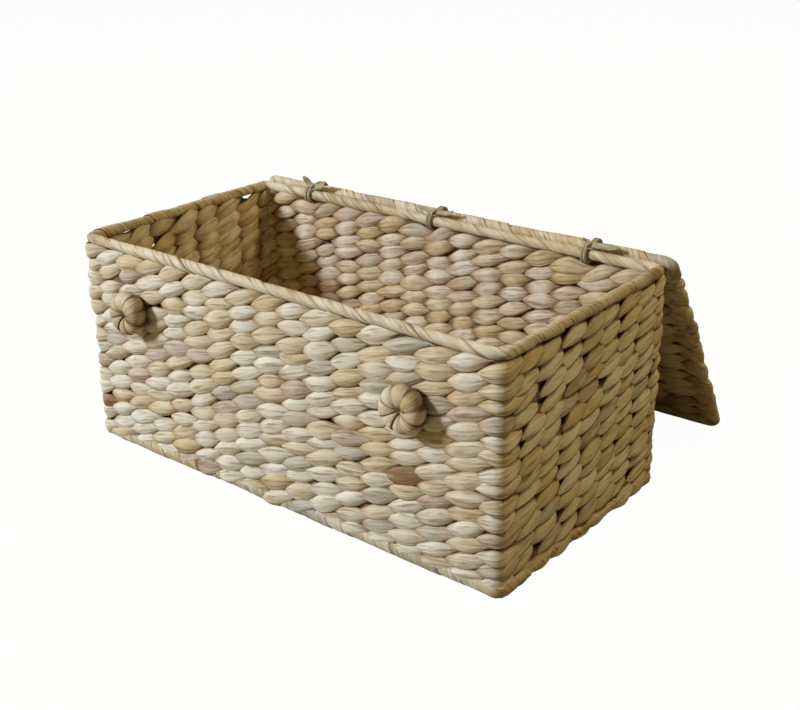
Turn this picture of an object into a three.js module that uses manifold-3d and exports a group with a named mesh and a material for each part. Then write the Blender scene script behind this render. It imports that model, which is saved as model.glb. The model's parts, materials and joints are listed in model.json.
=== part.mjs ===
// Woven lidded box: strands twined on a welded wire cage, with a flat lid tied to the back rim.
// Millimetres, +Z up. The origin is the middle of the base, on the surface that the box stands on.
// +X runs along the box, and the front wall with its two knobs faces -Y.
// The lid is modelled open, folded over behind the box with its free edge on the same surface.

import * as THREE from 'three';
import { mergeVertices } from 'three/addons/utils/BufferGeometryUtils.js';
import Module from 'manifold-3d';

const wasm = await Module();
wasm.setup();

// Box
const BOX_LENGTH = 400;
const BOX_WIDTH = 205;
const BOX_HEIGHT = 173;
const WALL_THICKNESS = 10;
const BASE_THICKNESS = 9;
const CORNER_RADIUS = 11;
const WALL_COURSES = 14;
const LID_ROWS = 16;
const COURSE_GROOVE = 1.2;

// Wire cage
const WIRE_RADIUS = 2;
const STAKE_RADIUS = 1.5;
const LONG_BAYS = 16;
const SHORT_BAYS = 8;

// Clearance between pieces that touch, and the play of a wound strip on its wire
const FIT = 0.35;
const WRAP_PLAY = 0.5;

// Wound strips of the rims
const RIM_STRIP_THICKNESS = 2;
const LONG_STRIP_WIDTH = 15;
const SHORT_STRIP_WIDTH = 6.2;
const SHORT_TURNS = 21;

// Lid
const LID_OVERHANG = 3;
const LID_THICKNESS = 10.8;
const LID_CLEARANCE = 0.5;

// Hinge ties: twine looped twice round both rims, with a knot and two tails
const TWINE_RADIUS = 1.2;
const TWINE_GAP = 0.5;
const TIE_TURNS = 2;
const TIE_REST_ANGLE = THREE.MathUtils.degToRad(15);
const KNOT_SHIFT = 1.8;
const KNOT_RADII = new THREE.Vector3(4.4, 2.6, 2.8);
const NOTCH_PLAY = 0.6;

// Knobs: a rolled ring with a wound strip, held by a cord through the front wall
const KNOB_DIAMETER = 36;
const KNOB_HOLE_DIAMETER = 6.8;
const LEFT_KNOB_DROP = 51;
const RIGHT_KNOB_DROP = 54;
const KNOB_STRIP_THICKNESS = 1.6;
const KNOB_TURNS = 12;
const KNOB_TURN_GAP = 0.6;
const KNOB_CORD_RADIUS = 2.2;
const KNOB_HEAD_RADIUS = 4.6;
const KNOB_HEAD_HEIGHT = 2.6;
const INNER_KNOT_RADIUS = 5.6;
const INNER_KNOT_DEPTH = 3.8;
const ROUNDED_SHARE = 0.7;

// Places along the long sides: in which bay between two stakes, and at what share of the bay
const KNOBS = [
  { side: 'left', bay: 2, share: 0.28, drop: LEFT_KNOB_DROP },
  { side: 'right', bay: 13, share: 0.25, drop: RIGHT_KNOB_DROP },
];

// The tails of each knot reach along the rim and rise from the loop by so many twine radii
const TIES = [
  { side: 'left', bay: 2, share: 0.3, tails: [{ reach: -7.5, rise: 6.5 }, { reach: 9, rise: 5.8 }] },
  { side: 'middle', bay: 7, share: 0.7, tails: [{ reach: -11.5, rise: 1.7 }, { reach: 11.5, rise: 2.5 }] },
  { side: 'right', bay: 13, share: 0.55, tails: [{ reach: -5.8, rise: 5 }, { reach: 16.5, rise: 1.2 }] },
];

// Facets
const WIRE_SIDES = 6;
const STAKE_SIDES = 5;
const TWINE_SIDES = 5;
const TURN_STEPS = 6;
const KNOB_TURN_STEPS = 8;
const TIE_STEPS = 20;
const ELBOW_STEPS = 4;
const CORNER_STEPS = 4;
const BINDING_STEPS = 6;
const TAIL_STEPS = 4;
const KNOT_SIDES = 10;
const KNOT_RINGS = 6;
const KNOB_SIDES = 10;
const CORE_SIDES = 20;
const MERGE_DISTANCE = 1e-4;
const SAMPLE_COUNT = 6;

// Shares of a course's height at which its ridge has corners
const RIDGE_SHARES = [0, 0.3, 0.7];

// Arc of the bottom binding round its wire, from underneath to the outside, 0 being straight out
const BINDING_FROM = THREE.MathUtils.degToRad(-100);
const BINDING_TO = THREE.MathUtils.degToRad(40);

// Sizes that follow from those above
const TURN = Math.PI * 2;
const X_AXIS = new THREE.Vector3(1, 0, 0);
const Y_AXIS = new THREE.Vector3(0, 1, 0);
const Z_AXIS = new THREE.Vector3(0, 0, 1);
const STRIP_INNER = WIRE_RADIUS + WRAP_PLAY;
const RIM_RADIUS = STRIP_INNER + RIM_STRIP_THICKNESS;
const RIM_Z = BOX_HEIGHT - RIM_RADIUS;
const MID_X = (BOX_LENGTH - WALL_THICKNESS) / 2;
const MID_Y = (BOX_WIDTH - WALL_THICKNESS) / 2;
const BASE_WIRE_Z = BASE_THICKNESS / 2;
const WIRE_CORNER = CORNER_RADIUS - WALL_THICKNESS / 2;
const POST_INSET = WIRE_CORNER * (1 - Math.SQRT1_2);
const WALL_TOP = RIM_Z - RIM_RADIUS - FIT;
const WALL_BOTTOM = BASE_THICKNESS + FIT;
const LONG_PITCH = (2 * MID_X) / LONG_BAYS;
const SHORT_PITCH = (2 * MID_Y) / SHORT_BAYS;
const LID_HALF = LID_THICKNESS / 2;
const LID_REACH = 2 * MID_Y;
const LID_MID_X = BOX_LENGTH / 2 + LID_OVERHANG - LID_HALF;
const HINGE_SPACING = RIM_RADIUS + LID_HALF + LID_CLEARANCE;
const HINGE_Y = MID_Y + HINGE_SPACING * Math.cos(TIE_REST_ANGLE);
const HINGE_Z = RIM_Z + HINGE_SPACING * Math.sin(TIE_REST_ANGLE);
const LID_LEAN = Math.acos((HINGE_Z - LID_HALF - FIT) / LID_REACH);
const TIE_RADIUS = RIM_RADIUS + FIT + TWINE_RADIUS;
const TIE_OUTER = TIE_RADIUS + TWINE_RADIUS;
const TIE_PITCH = 2 * TWINE_RADIUS + TWINE_GAP;
const TIE_HALF_WIDTH = (TIE_TURNS * TIE_PITCH) / 2 + TWINE_RADIUS;
const STAKE_TOP = RIM_Z - TIE_OUTER - NOTCH_PLAY - FIT;
const KNOB_TUBE = (KNOB_DIAMETER - KNOB_HOLE_DIAMETER) / 4;
const KNOB_RING = KNOB_HOLE_DIAMETER / 2 + KNOB_TUBE;

const FIBRE = { color: 0xc2ac7c, roughness: 0.85, metalness: 0 };
const FIBRE_DARK = { color: 0xa98a58, roughness: 0.85, metalness: 0 };
const TWINE = { color: 0x8c8260, roughness: 0.95, metalness: 0 };
const WIRE = { color: 0x55504a, roughness: 0.5, metalness: 0.9 };

// Closed solids and the joins and cuts between them

function signedVolume(positions, triangles) {
  const corner = (n) => new THREE.Vector3().fromArray(positions, triangles[n] * 3);
  let sum = 0;
  for (let i = 0; i < triangles.length; i += 3) {
    sum += corner(i).dot(corner(i + 1).cross(corner(i + 2)));
  }
  return sum / 6;
}

function solid(geometry) {
  const bare = geometry.clone();
  bare.deleteAttribute('normal');
  bare.deleteAttribute('uv');
  const merged = mergeVertices(bare, MERGE_DISTANCE);
  const vertProperties = new Float32Array(merged.attributes.position.array);
  const triVerts = new Uint32Array(merged.index.array);
  if (signedVolume(vertProperties, triVerts) < 0) {
    for (let i = 0; i < triVerts.length; i += 3) {
      [triVerts[i], triVerts[i + 1]] = [triVerts[i + 1], triVerts[i]];
    }
  }
  return new wasm.Manifold(new wasm.Mesh({ numProp: 3, vertProperties, triVerts }));
}

function joined(solids) {
  return solids.reduce((whole, piece) => whole.add(piece));
}

function cut(body, tools) {
  return tools.reduce((rest, tool) => rest.subtract(tool), body);
}

function subPart(name, body, finish) {
  const { vertProperties, triVerts } = body.getMesh();
  const geometry = new THREE.BufferGeometry();
  geometry.setAttribute('position', new THREE.Float32BufferAttribute(vertProperties, 3));
  geometry.setIndex(Array.from(triVerts));
  geometry.computeVertexNormals();
  const mesh = new THREE.Mesh(geometry, new THREE.MeshStandardMaterial(finish));
  mesh.name = name;
  return mesh;
}

// Plain shapes

function rod(from, to, radius, sides) {
  const along = to.clone().sub(from);
  const geometry = new THREE.CylinderGeometry(radius, radius, along.length(), sides);
  const turn = new THREE.Quaternion().setFromUnitVectors(Y_AXIS, along.clone().normalize());
  geometry.applyQuaternion(turn);
  const middle = from.clone().add(to).multiplyScalar(0.5);
  return solid(geometry.translate(middle.x, middle.y, middle.z));
}

function block(low, high) {
  const size = high.clone().sub(low);
  const middle = low.clone().add(high).multiplyScalar(0.5);
  return solid(new THREE.BoxGeometry(size.x, size.y, size.z).translate(middle.x, middle.y, middle.z));
}

function regularSection(radius, sides) {
  const corner = (n) => new THREE.Vector2(radius, 0).rotateAround(new THREE.Vector2(), (n / sides) * TURN);
  return new THREE.Shape(Array.from({ length: sides }, (unused, n) => corner(n)));
}

function tubeAlong(curve, radius, sides, steps) {
  const section = regularSection(radius, sides);
  return solid(new THREE.ExtrudeGeometry(section, { extrudePath: curve, steps, bevelEnabled: false }));
}

function roundedPlate(halfX, halfY, radius, low, high) {
  const outline = new THREE.Shape();
  outline.absarc(halfX - radius, halfY - radius, radius, 0, TURN / 4);
  outline.absarc(radius - halfX, halfY - radius, radius, TURN / 4, TURN / 2);
  outline.absarc(radius - halfX, radius - halfY, radius, TURN / 2, (3 * TURN) / 4);
  outline.absarc(halfX - radius, radius - halfY, radius, (3 * TURN) / 4, TURN);
  const settings = { depth: high - low, bevelEnabled: false, curveSegments: CORNER_STEPS };
  return solid(new THREE.ExtrudeGeometry(outline, settings).translate(0, 0, low));
}

// A quarter bend of wire in the loop's plane
class ElbowCurve extends THREE.Curve {
  constructor(centre, radius, startAngle) {
    super();
    Object.assign(this, { centre, radius, startAngle });
  }

  getPoint(t, target = new THREE.Vector3()) {
    const angle = this.startAngle + (t * TURN) / 4;
    return target.set(Math.cos(angle), Math.sin(angle), 0).multiplyScalar(this.radius).add(this.centre);
  }
}

// A rectangular loop of wire with bent corners: four bars that run a little way into four elbows
function wireLoop(centre, halfX, halfY) {
  const straightX = halfX - WIRE_CORNER;
  const straightY = halfY - WIRE_CORNER;
  const weld = WIRE_RADIUS / 2;
  const at = (x, y) => new THREE.Vector3(x, y, 0).add(centre);
  const pieces = [];
  for (const side of [-1, 1]) {
    const barX = [at(-straightX - weld, side * halfY), at(straightX + weld, side * halfY)];
    const barY = [at(side * halfX, -straightY - weld), at(side * halfX, straightY + weld)];
    pieces.push(rod(...barX, WIRE_RADIUS, WIRE_SIDES));
    pieces.push(rod(...barY, WIRE_RADIUS, WIRE_SIDES));
  }
  const corners = [[1, 1], [-1, 1], [-1, -1], [1, -1]];
  corners.forEach(([signX, signY], quarter) => {
    const bend = new ElbowCurve(at(signX * straightX, signY * straightY), WIRE_CORNER, (quarter * TURN) / 4);
    pieces.push(tubeAlong(bend, WIRE_RADIUS, WIRE_SIDES, ELBOW_STEPS));
  });
  return pieces;
}

// A woven panel: one rounded ridge for each course, on both faces, drawn out to the panel's length
function wovenPanel(thickness, low, high, courses, length, across, up) {
  const half = thickness / 2;
  const pitch = (high - low) / courses;
  const side = [];
  for (let course = 0; course < courses; course += 1) {
    for (const share of RIDGE_SHARES) {
      const bulge = Math.sin(share * Math.PI);
      side.push(new THREE.Vector2(half - COURSE_GROOVE * (1 - bulge), low + (course + share) * pitch));
    }
  }
  side.push(new THREE.Vector2(half - COURSE_GROOVE, high));
  const farSide = side.map((point) => new THREE.Vector2(-point.x, point.y)).reverse();
  const profile = new THREE.Shape([...side, ...farSide]);
  const geometry = new THREE.ExtrudeGeometry(profile, { depth: length, bevelEnabled: false });
  geometry.translate(0, 0, -length / 2);
  const along = new THREE.Vector3().crossVectors(across, up);
  return solid(geometry.applyMatrix4(new THREE.Matrix4().makeBasis(across, up, along)));
}

// Wound strips: place(angle, along, radius) says where a point of the winding lies

function leastTurnGap(corners, sides, steps) {
  const samples = [];
  for (let i = 0; i + sides < corners.length; i += 1) {
    for (let n = 0; n < SAMPLE_COUNT; n += 1) {
      const point = corners[i].clone().lerp(corners[i + sides], n / SAMPLE_COUNT);
      samples.push({ point, step: Math.floor(i / sides) + n / SAMPLE_COUNT });
    }
  }
  let least = Infinity;
  for (const one of samples) {
    for (const other of samples) {
      if (other.step - one.step >= steps / 2) {
        least = Math.min(least, one.point.distanceTo(other.point));
      }
    }
  }
  return least;
}

function windStrip(name, place, winding) {
  const { turns, steps, startAngle, start, perTurn, halfWidth, inner, outer } = winding;
  const section = [[-1, inner], [1, inner], [1, outer], [-1, outer]];
  const sides = section.length;
  const corners = [];
  for (let i = 0; i <= turns * steps; i += 1) {
    const turned = i / steps;
    for (const [edge, radius] of section) {
      corners.push(place(startAngle + turned * TURN, start + turned * perTurn + edge * halfWidth, radius));
    }
  }
  const faces = [0, 1, 2, 0, 2, 3];
  const last = corners.length - sides;
  faces.push(last, last + 2, last + 1, last, last + 3, last + 2);
  for (let row = 0; row < last; row += sides) {
    for (let side = 0; side < sides; side += 1) {
      const one = row + side;
      const two = row + ((side + 1) % sides);
      faces.push(one, one + sides, two + sides, one, two + sides, two);
    }
  }
  const geometry = new THREE.BufferGeometry().setFromPoints(corners);
  geometry.setIndex(faces);
  console.log(`${name}: least gap between turns ${leastTurnGap(corners, sides, steps).toFixed(2)} mm`);
  return solid(geometry);
}

// A strip wound on a straight wire through centre, first and second being square to the wire
function wireWinding(name, centre, first, second, winding) {
  const axis = new THREE.Vector3().crossVectors(first, second);
  const place = (angle, along, radius) => centre.clone()
    .addScaledVector(axis, along)
    .addScaledVector(first, radius * Math.cos(angle))
    .addScaledVector(second, radius * Math.sin(angle));
  return windStrip(name, place, { steps: TURN_STEPS, inner: STRIP_INNER, ...winding });
}

// On the long bars the strip crosses the stakes' side half-way between two stakes
const LONG_WINDING = {
  turns: LONG_BAYS - 1,
  start: LONG_PITCH / 2 - MID_X,
  perTurn: LONG_PITCH,
  halfWidth: LONG_STRIP_WIDTH / 2,
};
const SHORT_REACH = MID_Y - WIRE_CORNER - SHORT_STRIP_WIDTH / 2;
const SHORT_WINDING = {
  turns: SHORT_TURNS,
  start: -SHORT_REACH,
  perTurn: (2 * SHORT_REACH) / SHORT_TURNS,
  halfWidth: SHORT_STRIP_WIDTH / 2,
};

// Places of the stakes, and of what sits between two of them

const stakeX = (n) => n * LONG_PITCH - MID_X;
const stakeY = (n) => n * SHORT_PITCH - MID_Y;
const betweenStakes = ({ bay, share }) => stakeX(bay + share);
const innerStakes = (bays) => Array.from({ length: bays - 1 }, (unused, n) => n + 1);

function uprights(postRadius, stakeRadius, low, stakeHigh, postHigh) {
  const upright = (x, y, high, radius, sides) => {
    return rod(new THREE.Vector3(x, y, low), new THREE.Vector3(x, y, high), radius, sides);
  };
  const rods = { front: [], back: [], left: [], right: [] };
  const walls = [[rods.front, rods.left, -1], [rods.back, rods.right, 1]];
  for (const [longWall, shortWall, side] of walls) {
    for (const end of [-1, 1]) {
      const x = end * (MID_X - POST_INSET);
      const y = side * (MID_Y - POST_INSET);
      longWall.push(upright(x, y, postHigh, postRadius, WIRE_SIDES));
    }
    for (const n of innerStakes(LONG_BAYS)) {
      longWall.push(upright(stakeX(n), side * MID_Y, stakeHigh, stakeRadius, STAKE_SIDES));
    }
    for (const n of innerStakes(SHORT_BAYS)) {
      shortWall.push(upright(side * MID_X, stakeY(n), stakeHigh, stakeRadius, STAKE_SIDES));
    }
  }
  return rods;
}

function crossWires(radius, fromY, toY, z) {
  return innerStakes(LONG_BAYS).map((n) => {
    return rod(new THREE.Vector3(stakeX(n), fromY, z), new THREE.Vector3(stakeX(n), toY, z), radius, STAKE_SIDES);
  });
}

// Box

function boxFrame() {
  const stakes = uprights(WIRE_RADIUS, STAKE_RADIUS, BASE_WIRE_Z, STAKE_TOP, RIM_Z);
  const pieces = [
    ...wireLoop(new THREE.Vector3(0, 0, RIM_Z), MID_X, MID_Y),
    ...wireLoop(new THREE.Vector3(0, 0, BASE_WIRE_Z), MID_X, MID_Y),
    ...Object.values(stakes).flat(),
    ...crossWires(STAKE_RADIUS, -MID_Y, MID_Y, BASE_WIRE_Z),
  ];
  return subPart('box_frame', joined(pieces), WIRE);
}

function knobBores() {
  return KNOBS.map((knob) => {
    const middle = new THREE.Vector3(betweenStakes(knob), -MID_Y, BOX_HEIGHT - knob.drop);
    const reach = Y_AXIS.clone().multiplyScalar(WALL_THICKNESS);
    return rod(middle.clone().sub(reach), middle.add(reach), KNOB_CORD_RADIUS + FIT, KNOB_SIDES);
  });
}

function tieNotches() {
  const half = TIE_HALF_WIDTH + NOTCH_PLAY;
  return TIES.map((tie) => {
    const x = betweenStakes(tie);
    const low = new THREE.Vector3(x - half, MID_Y - WALL_THICKNESS, RIM_Z - TIE_OUTER - NOTCH_PLAY);
    return block(low, new THREE.Vector3(x + half, MID_Y + WALL_THICKNESS, RIM_Z));
  });
}

function walls() {
  const bores = uprights(WIRE_RADIUS + FIT, STAKE_RADIUS + FIT, 0, BOX_HEIGHT, BOX_HEIGHT);
  const outline = roundedPlate(BOX_LENGTH / 2, BOX_WIDTH / 2, CORNER_RADIUS, 0, BOX_HEIGHT);
  const shortLength = BOX_WIDTH - 2 * (WALL_THICKNESS + FIT);
  const panel = (length, across) => {
    return wovenPanel(WALL_THICKNESS, WALL_BOTTOM, WALL_TOP, WALL_COURSES, length, across, Z_AXIS);
  };
  const longWall = (side) => panel(BOX_LENGTH, Y_AXIS).translate(0, side * MID_Y, 0).intersect(outline);
  const shortWall = (side) => panel(shortLength, X_AXIS).translate(side * MID_X, 0, 0);
  return [
    subPart('front_wall', cut(longWall(-1), [...bores.front, ...knobBores()]), FIBRE),
    subPart('back_wall', cut(longWall(1), [...bores.back, ...tieNotches()]), FIBRE),
    subPart('left_wall', cut(shortWall(-1), bores.left), FIBRE),
    subPart('right_wall', cut(shortWall(1), bores.right), FIBRE),
  ];
}

function basePanel() {
  const inset = WIRE_RADIUS + FIT;
  const plate = roundedPlate(MID_X - inset, MID_Y - inset, WIRE_CORNER, 0, BASE_THICKNESS);
  const bores = crossWires(STAKE_RADIUS + FIT, -MID_Y, MID_Y, BASE_WIRE_Z);
  return subPart('base_panel', cut(plate, bores), FIBRE);
}

function rimWraps() {
  const at = (x, y) => new THREE.Vector3(x, y, RIM_Z);
  const wrap = (name, centre, first, second, winding) => {
    const turned = { startAngle: -TURN / 4, outer: RIM_RADIUS, ...winding };
    return subPart(name, wireWinding(name, centre, first, second, turned), FIBRE);
  };
  return [
    wrap('front_rim_wrap', at(0, -MID_Y), Y_AXIS, Z_AXIS, LONG_WINDING),
    wrap('back_rim_wrap', at(0, MID_Y), Y_AXIS, Z_AXIS, LONG_WINDING),
    wrap('left_rim_wrap', at(-MID_X, 0), Z_AXIS, X_AXIS, SHORT_WINDING),
    wrap('right_rim_wrap', at(MID_X, 0), Z_AXIS, X_AXIS, SHORT_WINDING),
  ];
}

// A trough round the outside and the underside of the bottom wire, clear of the stakes and cross wires
function bindings() {
  const outline = new THREE.Shape();
  outline.absarc(0, 0, BASE_WIRE_Z, BINDING_FROM, BINDING_TO, false);
  outline.absarc(0, 0, STRIP_INNER, BINDING_TO, BINDING_FROM, true);
  const binding = (name, centre, out, halfLength) => {
    const settings = { depth: 2 * halfLength, bevelEnabled: false, curveSegments: BINDING_STEPS };
    const geometry = new THREE.ExtrudeGeometry(outline, settings).translate(0, 0, -halfLength);
    const along = new THREE.Vector3().crossVectors(out, Z_AXIS);
    geometry.applyMatrix4(new THREE.Matrix4().makeBasis(out, Z_AXIS, along));
    return subPart(name, solid(geometry.translate(centre.x, centre.y, BASE_WIRE_Z)), FIBRE_DARK);
  };
  const halfX = MID_X - WIRE_CORNER;
  const halfY = MID_Y - WIRE_CORNER;
  return [
    binding('front_binding', new THREE.Vector2(0, -MID_Y), Y_AXIS.clone().negate(), halfX),
    binding('back_binding', new THREE.Vector2(0, MID_Y), Y_AXIS, halfX),
    binding('left_binding', new THREE.Vector2(-MID_X, 0), X_AXIS.clone().negate(), halfY),
    binding('right_binding', new THREE.Vector2(MID_X, 0), X_AXIS, halfY),
  ];
}

// Knobs: each is built round the origin with its axis along Z, front up, and turned to face -Y

function knobWrap(name) {
  const perTurn = TURN / (KNOB_TURNS + 1);
  const place = (angle, round, radius) => {
    const out = KNOB_RING + radius * Math.cos(angle);
    return new THREE.Vector3(out * Math.cos(round), out * Math.sin(round), radius * Math.sin(angle));
  };
  return windStrip(name, place, {
    turns: KNOB_TURNS,
    steps: KNOB_TURN_STEPS,
    startAngle: -TURN / 4,
    start: 0,
    perTurn,
    halfWidth: (perTurn - (2 * KNOB_TURN_GAP) / KNOB_HOLE_DIAMETER) / 2,
    inner: KNOB_TUBE - KNOB_STRIP_THICKNESS,
    outer: KNOB_TUBE,
  });
}

function knobCore() {
  const flat = Math.cos(TURN / (2 * KNOB_TURN_STEPS));
  const tube = (KNOB_TUBE - KNOB_STRIP_THICKNESS) * flat - FIT;
  return solid(new THREE.TorusGeometry(KNOB_RING, tube, KNOB_TURN_STEPS, CORE_SIDES));
}

// The cord has a knot inside the wall, a stem, and a head that sits in the ring's dimple
function knobCord(ringHeight) {
  const seat = Math.sqrt(KNOB_TUBE ** 2 - (KNOB_RING - KNOB_HEAD_RADIUS) ** 2);
  const head = ringHeight + seat + FIT;
  const knotTop = -WALL_THICKNESS - FIT;
  const knotLow = knotTop - INNER_KNOT_DEPTH;
  const profile = [
    [0, knotLow],
    [INNER_KNOT_RADIUS * ROUNDED_SHARE, knotLow],
    [INNER_KNOT_RADIUS, (knotLow + knotTop) / 2],
    [INNER_KNOT_RADIUS * ROUNDED_SHARE, knotTop],
    [KNOB_CORD_RADIUS, knotTop],
    [KNOB_CORD_RADIUS, head],
    [KNOB_HEAD_RADIUS, head],
    [KNOB_HEAD_RADIUS * ROUNDED_SHARE, head + KNOB_HEAD_HEIGHT * ROUNDED_SHARE],
    [0, head + KNOB_HEAD_HEIGHT],
  ];
  const geometry = new THREE.LatheGeometry(profile.map(([x, y]) => new THREE.Vector2(x, y)), KNOB_SIDES);
  return solid(geometry.rotateX(TURN / 4));
}

function knobs() {
  const ringHeight = KNOB_TUBE + FIT;
  return KNOBS.map((knob) => {
    const group = new THREE.Group();
    group.position.set(betweenStakes(knob), -BOX_WIDTH / 2, BOX_HEIGHT - knob.drop);
    group.rotation.x = TURN / 4;
    const wrapName = `${knob.side}_knob_wrap`;
    const raised = (body) => body.translate(0, 0, ringHeight);
    group.add(
      subPart(`${knob.side}_knob_core`, raised(knobCore()), FIBRE_DARK),
      subPart(wrapName, raised(knobWrap(wrapName)), FIBRE_DARK),
      subPart(`${knob.side}_knob_cord`, knobCord(ringHeight), FIBRE_DARK),
    );
    return group;
  });
}

// Lid: built flat with the hinge wire along X through the origin and the panel along +Y

function lidNotches() {
  const half = TIE_HALF_WIDTH + NOTCH_PLAY;
  return TIES.map((tie) => {
    const x = betweenStakes(tie);
    const low = new THREE.Vector3(x - half, 0, -LID_THICKNESS);
    return block(low, new THREE.Vector3(x + half, TIE_OUTER + NOTCH_PLAY, LID_THICKNESS));
  });
}

function lidPanel() {
  const low = RIM_RADIUS + FIT;
  const high = LID_REACH - LID_HALF - FIT;
  const length = 2 * (LID_MID_X + LID_HALF);
  const panel = wovenPanel(LID_THICKNESS, low, high, LID_ROWS, length, Z_AXIS, Y_AXIS);
  const endBores = [-LID_MID_X, LID_MID_X].map((x) => {
    return rod(new THREE.Vector3(x, 0, 0), new THREE.Vector3(x, LID_REACH, 0), WIRE_RADIUS + FIT, WIRE_SIDES);
  });
  const bores = crossWires(STAKE_RADIUS + FIT, 0, LID_REACH, 0);
  return subPart('lid_panel', cut(panel, [...endBores, ...bores, ...lidNotches()]), FIBRE);
}

function lid() {
  const group = new THREE.Group();
  group.position.set(0, HINGE_Y, HINGE_Z);
  group.rotation.x = LID_LEAN - TURN / 4;
  const middle = new THREE.Vector3(0, LID_REACH / 2, 0);
  const frame = [...wireLoop(middle, LID_MID_X, LID_REACH / 2), ...crossWires(STAKE_RADIUS, 0, LID_REACH, 0)];
  const wrap = (name, y, startAngle, outer) => {
    const centre = new THREE.Vector3(0, y, 0);
    const winding = { ...LONG_WINDING, startAngle, outer };
    return subPart(name, wireWinding(name, centre, Y_AXIS, Z_AXIS, winding), FIBRE);
  };
  group.add(
    subPart('lid_frame', joined(frame), WIRE),
    lidPanel(),
    wrap('lid_hinge_wrap', 0, 0, RIM_RADIUS),
    wrap('lid_front_wrap', LID_REACH, TURN / 2, LID_HALF),
  );
  return group;
}

// Hinge ties: built with the box rim's axis along X through the origin and the lid rim's axis on +Y

// Where the twine is after a length of it, on an oval round both rims that starts under the lid rim
function ovalPoint(length) {
  const cap = Math.PI * TIE_RADIUS;
  const whole = 2 * (cap + HINGE_SPACING);
  const way = ((length % whole) + whole) % whole;
  const round = (y, angle) => new THREE.Vector2(y + TIE_RADIUS * Math.sin(angle), -TIE_RADIUS * Math.cos(angle));
  if (way < cap) {
    return round(HINGE_SPACING, way / TIE_RADIUS);
  }
  if (way < cap + HINGE_SPACING) {
    return new THREE.Vector2(HINGE_SPACING - (way - cap), TIE_RADIUS);
  }
  if (way < 2 * cap + HINGE_SPACING) {
    return round(0, (way - HINGE_SPACING) / TIE_RADIUS);
  }
  return new THREE.Vector2(way - 2 * cap - HINGE_SPACING, -TIE_RADIUS);
}

class TieCurve extends THREE.Curve {
  getPoint(t, target = new THREE.Vector3()) {
    const whole = 2 * (Math.PI * TIE_RADIUS + HINGE_SPACING);
    const knotAt = whole / 2 - KNOT_SHIFT;
    const point = ovalPoint(knotAt + t * TIE_TURNS * whole);
    return target.set((t - 0.5) * TIE_TURNS * TIE_PITCH, point.x, point.y);
  }
}

function printTwineGap(name, curve) {
  const count = TIE_TURNS * TIE_STEPS * SAMPLE_COUNT;
  const points = curve.getSpacedPoints(count);
  let least = Infinity;
  points.forEach((one, i) => {
    for (let j = i + count / TIE_TURNS / 2; j < points.length; j += 1) {
      least = Math.min(least, one.distanceTo(points[j]));
    }
  });
  console.log(`${name}: least gap between turns ${(least - 2 * TWINE_RADIUS).toFixed(2)} mm`);
}

function hingeTie(tie) {
  const name = `${tie.side}_hinge_tie`;
  const loop = new TieCurve();
  printTwineGap(name, loop);
  const above = (x, height) => new THREE.Vector3(x, KNOT_SHIFT, height);
  const seat = above(0, RIM_RADIUS + FIT + KNOT_RADII.z);
  const knot = new THREE.SphereGeometry(1, KNOT_SIDES, KNOT_RINGS);
  knot.scale(KNOT_RADII.x, KNOT_RADII.y, KNOT_RADII.z);
  const pieces = [
    tubeAlong(loop, TWINE_RADIUS, TWINE_SIDES, TIE_TURNS * TIE_STEPS),
    solid(knot.translate(seat.x, seat.y, seat.z)),
  ];
  for (const { reach, rise } of tie.tails) {
    const end = reach * TWINE_RADIUS;
    const path = new THREE.QuadraticBezierCurve3(
      seat,
      above(end / 2, seat.z),
      above(end, TIE_RADIUS + rise * TWINE_RADIUS),
    );
    pieces.push(tubeAlong(path, TWINE_RADIUS, TWINE_SIDES, TAIL_STEPS));
  }
  const mesh = subPart(name, joined(pieces), TWINE);
  mesh.position.set(betweenStakes(tie), MID_Y, RIM_Z);
  mesh.rotation.x = TIE_REST_ANGLE;
  return mesh;
}

const group = new THREE.Group();
group.add(
  boxFrame(),
  ...walls(),
  basePanel(),
  ...rimWraps(),
  ...bindings(),
  ...knobs(),
  lid(),
  ...TIES.map(hingeTie),
);

export default group;
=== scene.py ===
import json
import math
from dataclasses import dataclass

import bpy
import numpy as np
from bpy.props import FloatProperty, FloatVectorProperty, PointerProperty
from bpy.types import Operator, Panel, PropertyGroup
from mathutils import Matrix, Quaternion, Vector


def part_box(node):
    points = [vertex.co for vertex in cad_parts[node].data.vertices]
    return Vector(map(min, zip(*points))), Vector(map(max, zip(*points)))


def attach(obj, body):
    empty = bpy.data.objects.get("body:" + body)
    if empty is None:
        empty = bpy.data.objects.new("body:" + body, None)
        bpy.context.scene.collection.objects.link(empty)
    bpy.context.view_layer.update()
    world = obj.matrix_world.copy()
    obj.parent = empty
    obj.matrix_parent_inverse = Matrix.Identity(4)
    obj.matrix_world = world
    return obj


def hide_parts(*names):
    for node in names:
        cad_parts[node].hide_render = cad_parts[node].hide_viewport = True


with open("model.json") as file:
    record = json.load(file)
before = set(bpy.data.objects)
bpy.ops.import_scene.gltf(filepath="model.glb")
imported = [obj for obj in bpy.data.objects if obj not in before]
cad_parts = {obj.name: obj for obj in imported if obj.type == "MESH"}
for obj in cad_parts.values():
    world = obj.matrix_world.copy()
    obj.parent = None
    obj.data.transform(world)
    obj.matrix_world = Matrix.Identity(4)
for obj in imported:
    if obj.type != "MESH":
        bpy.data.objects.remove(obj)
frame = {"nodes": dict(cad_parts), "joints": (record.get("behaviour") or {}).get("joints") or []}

bl_info = {
    "name": "Woven Lidded Box",
    "version": (1, 0, 0),
    "blender": (4, 5, 0),
    "location": "3D View > Sidebar > Woven Box",
    "description": "Dresses the wire frame of a lidded storage box with twined plant-fibre strands",
    "category": "Object",
}

MM = 0.001
TURN = 2 * math.pi
SIDES = ("front", "back", "left", "right")


def middle(node):
    """The middle of a CAD node's box."""
    low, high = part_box(node)
    return (low + high) / 2


def on_each_side(kind):
    """Names of the four CAD nodes of a kind, one for each side of the box."""
    return [f"{side}_{kind}" for side in SIDES]


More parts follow.
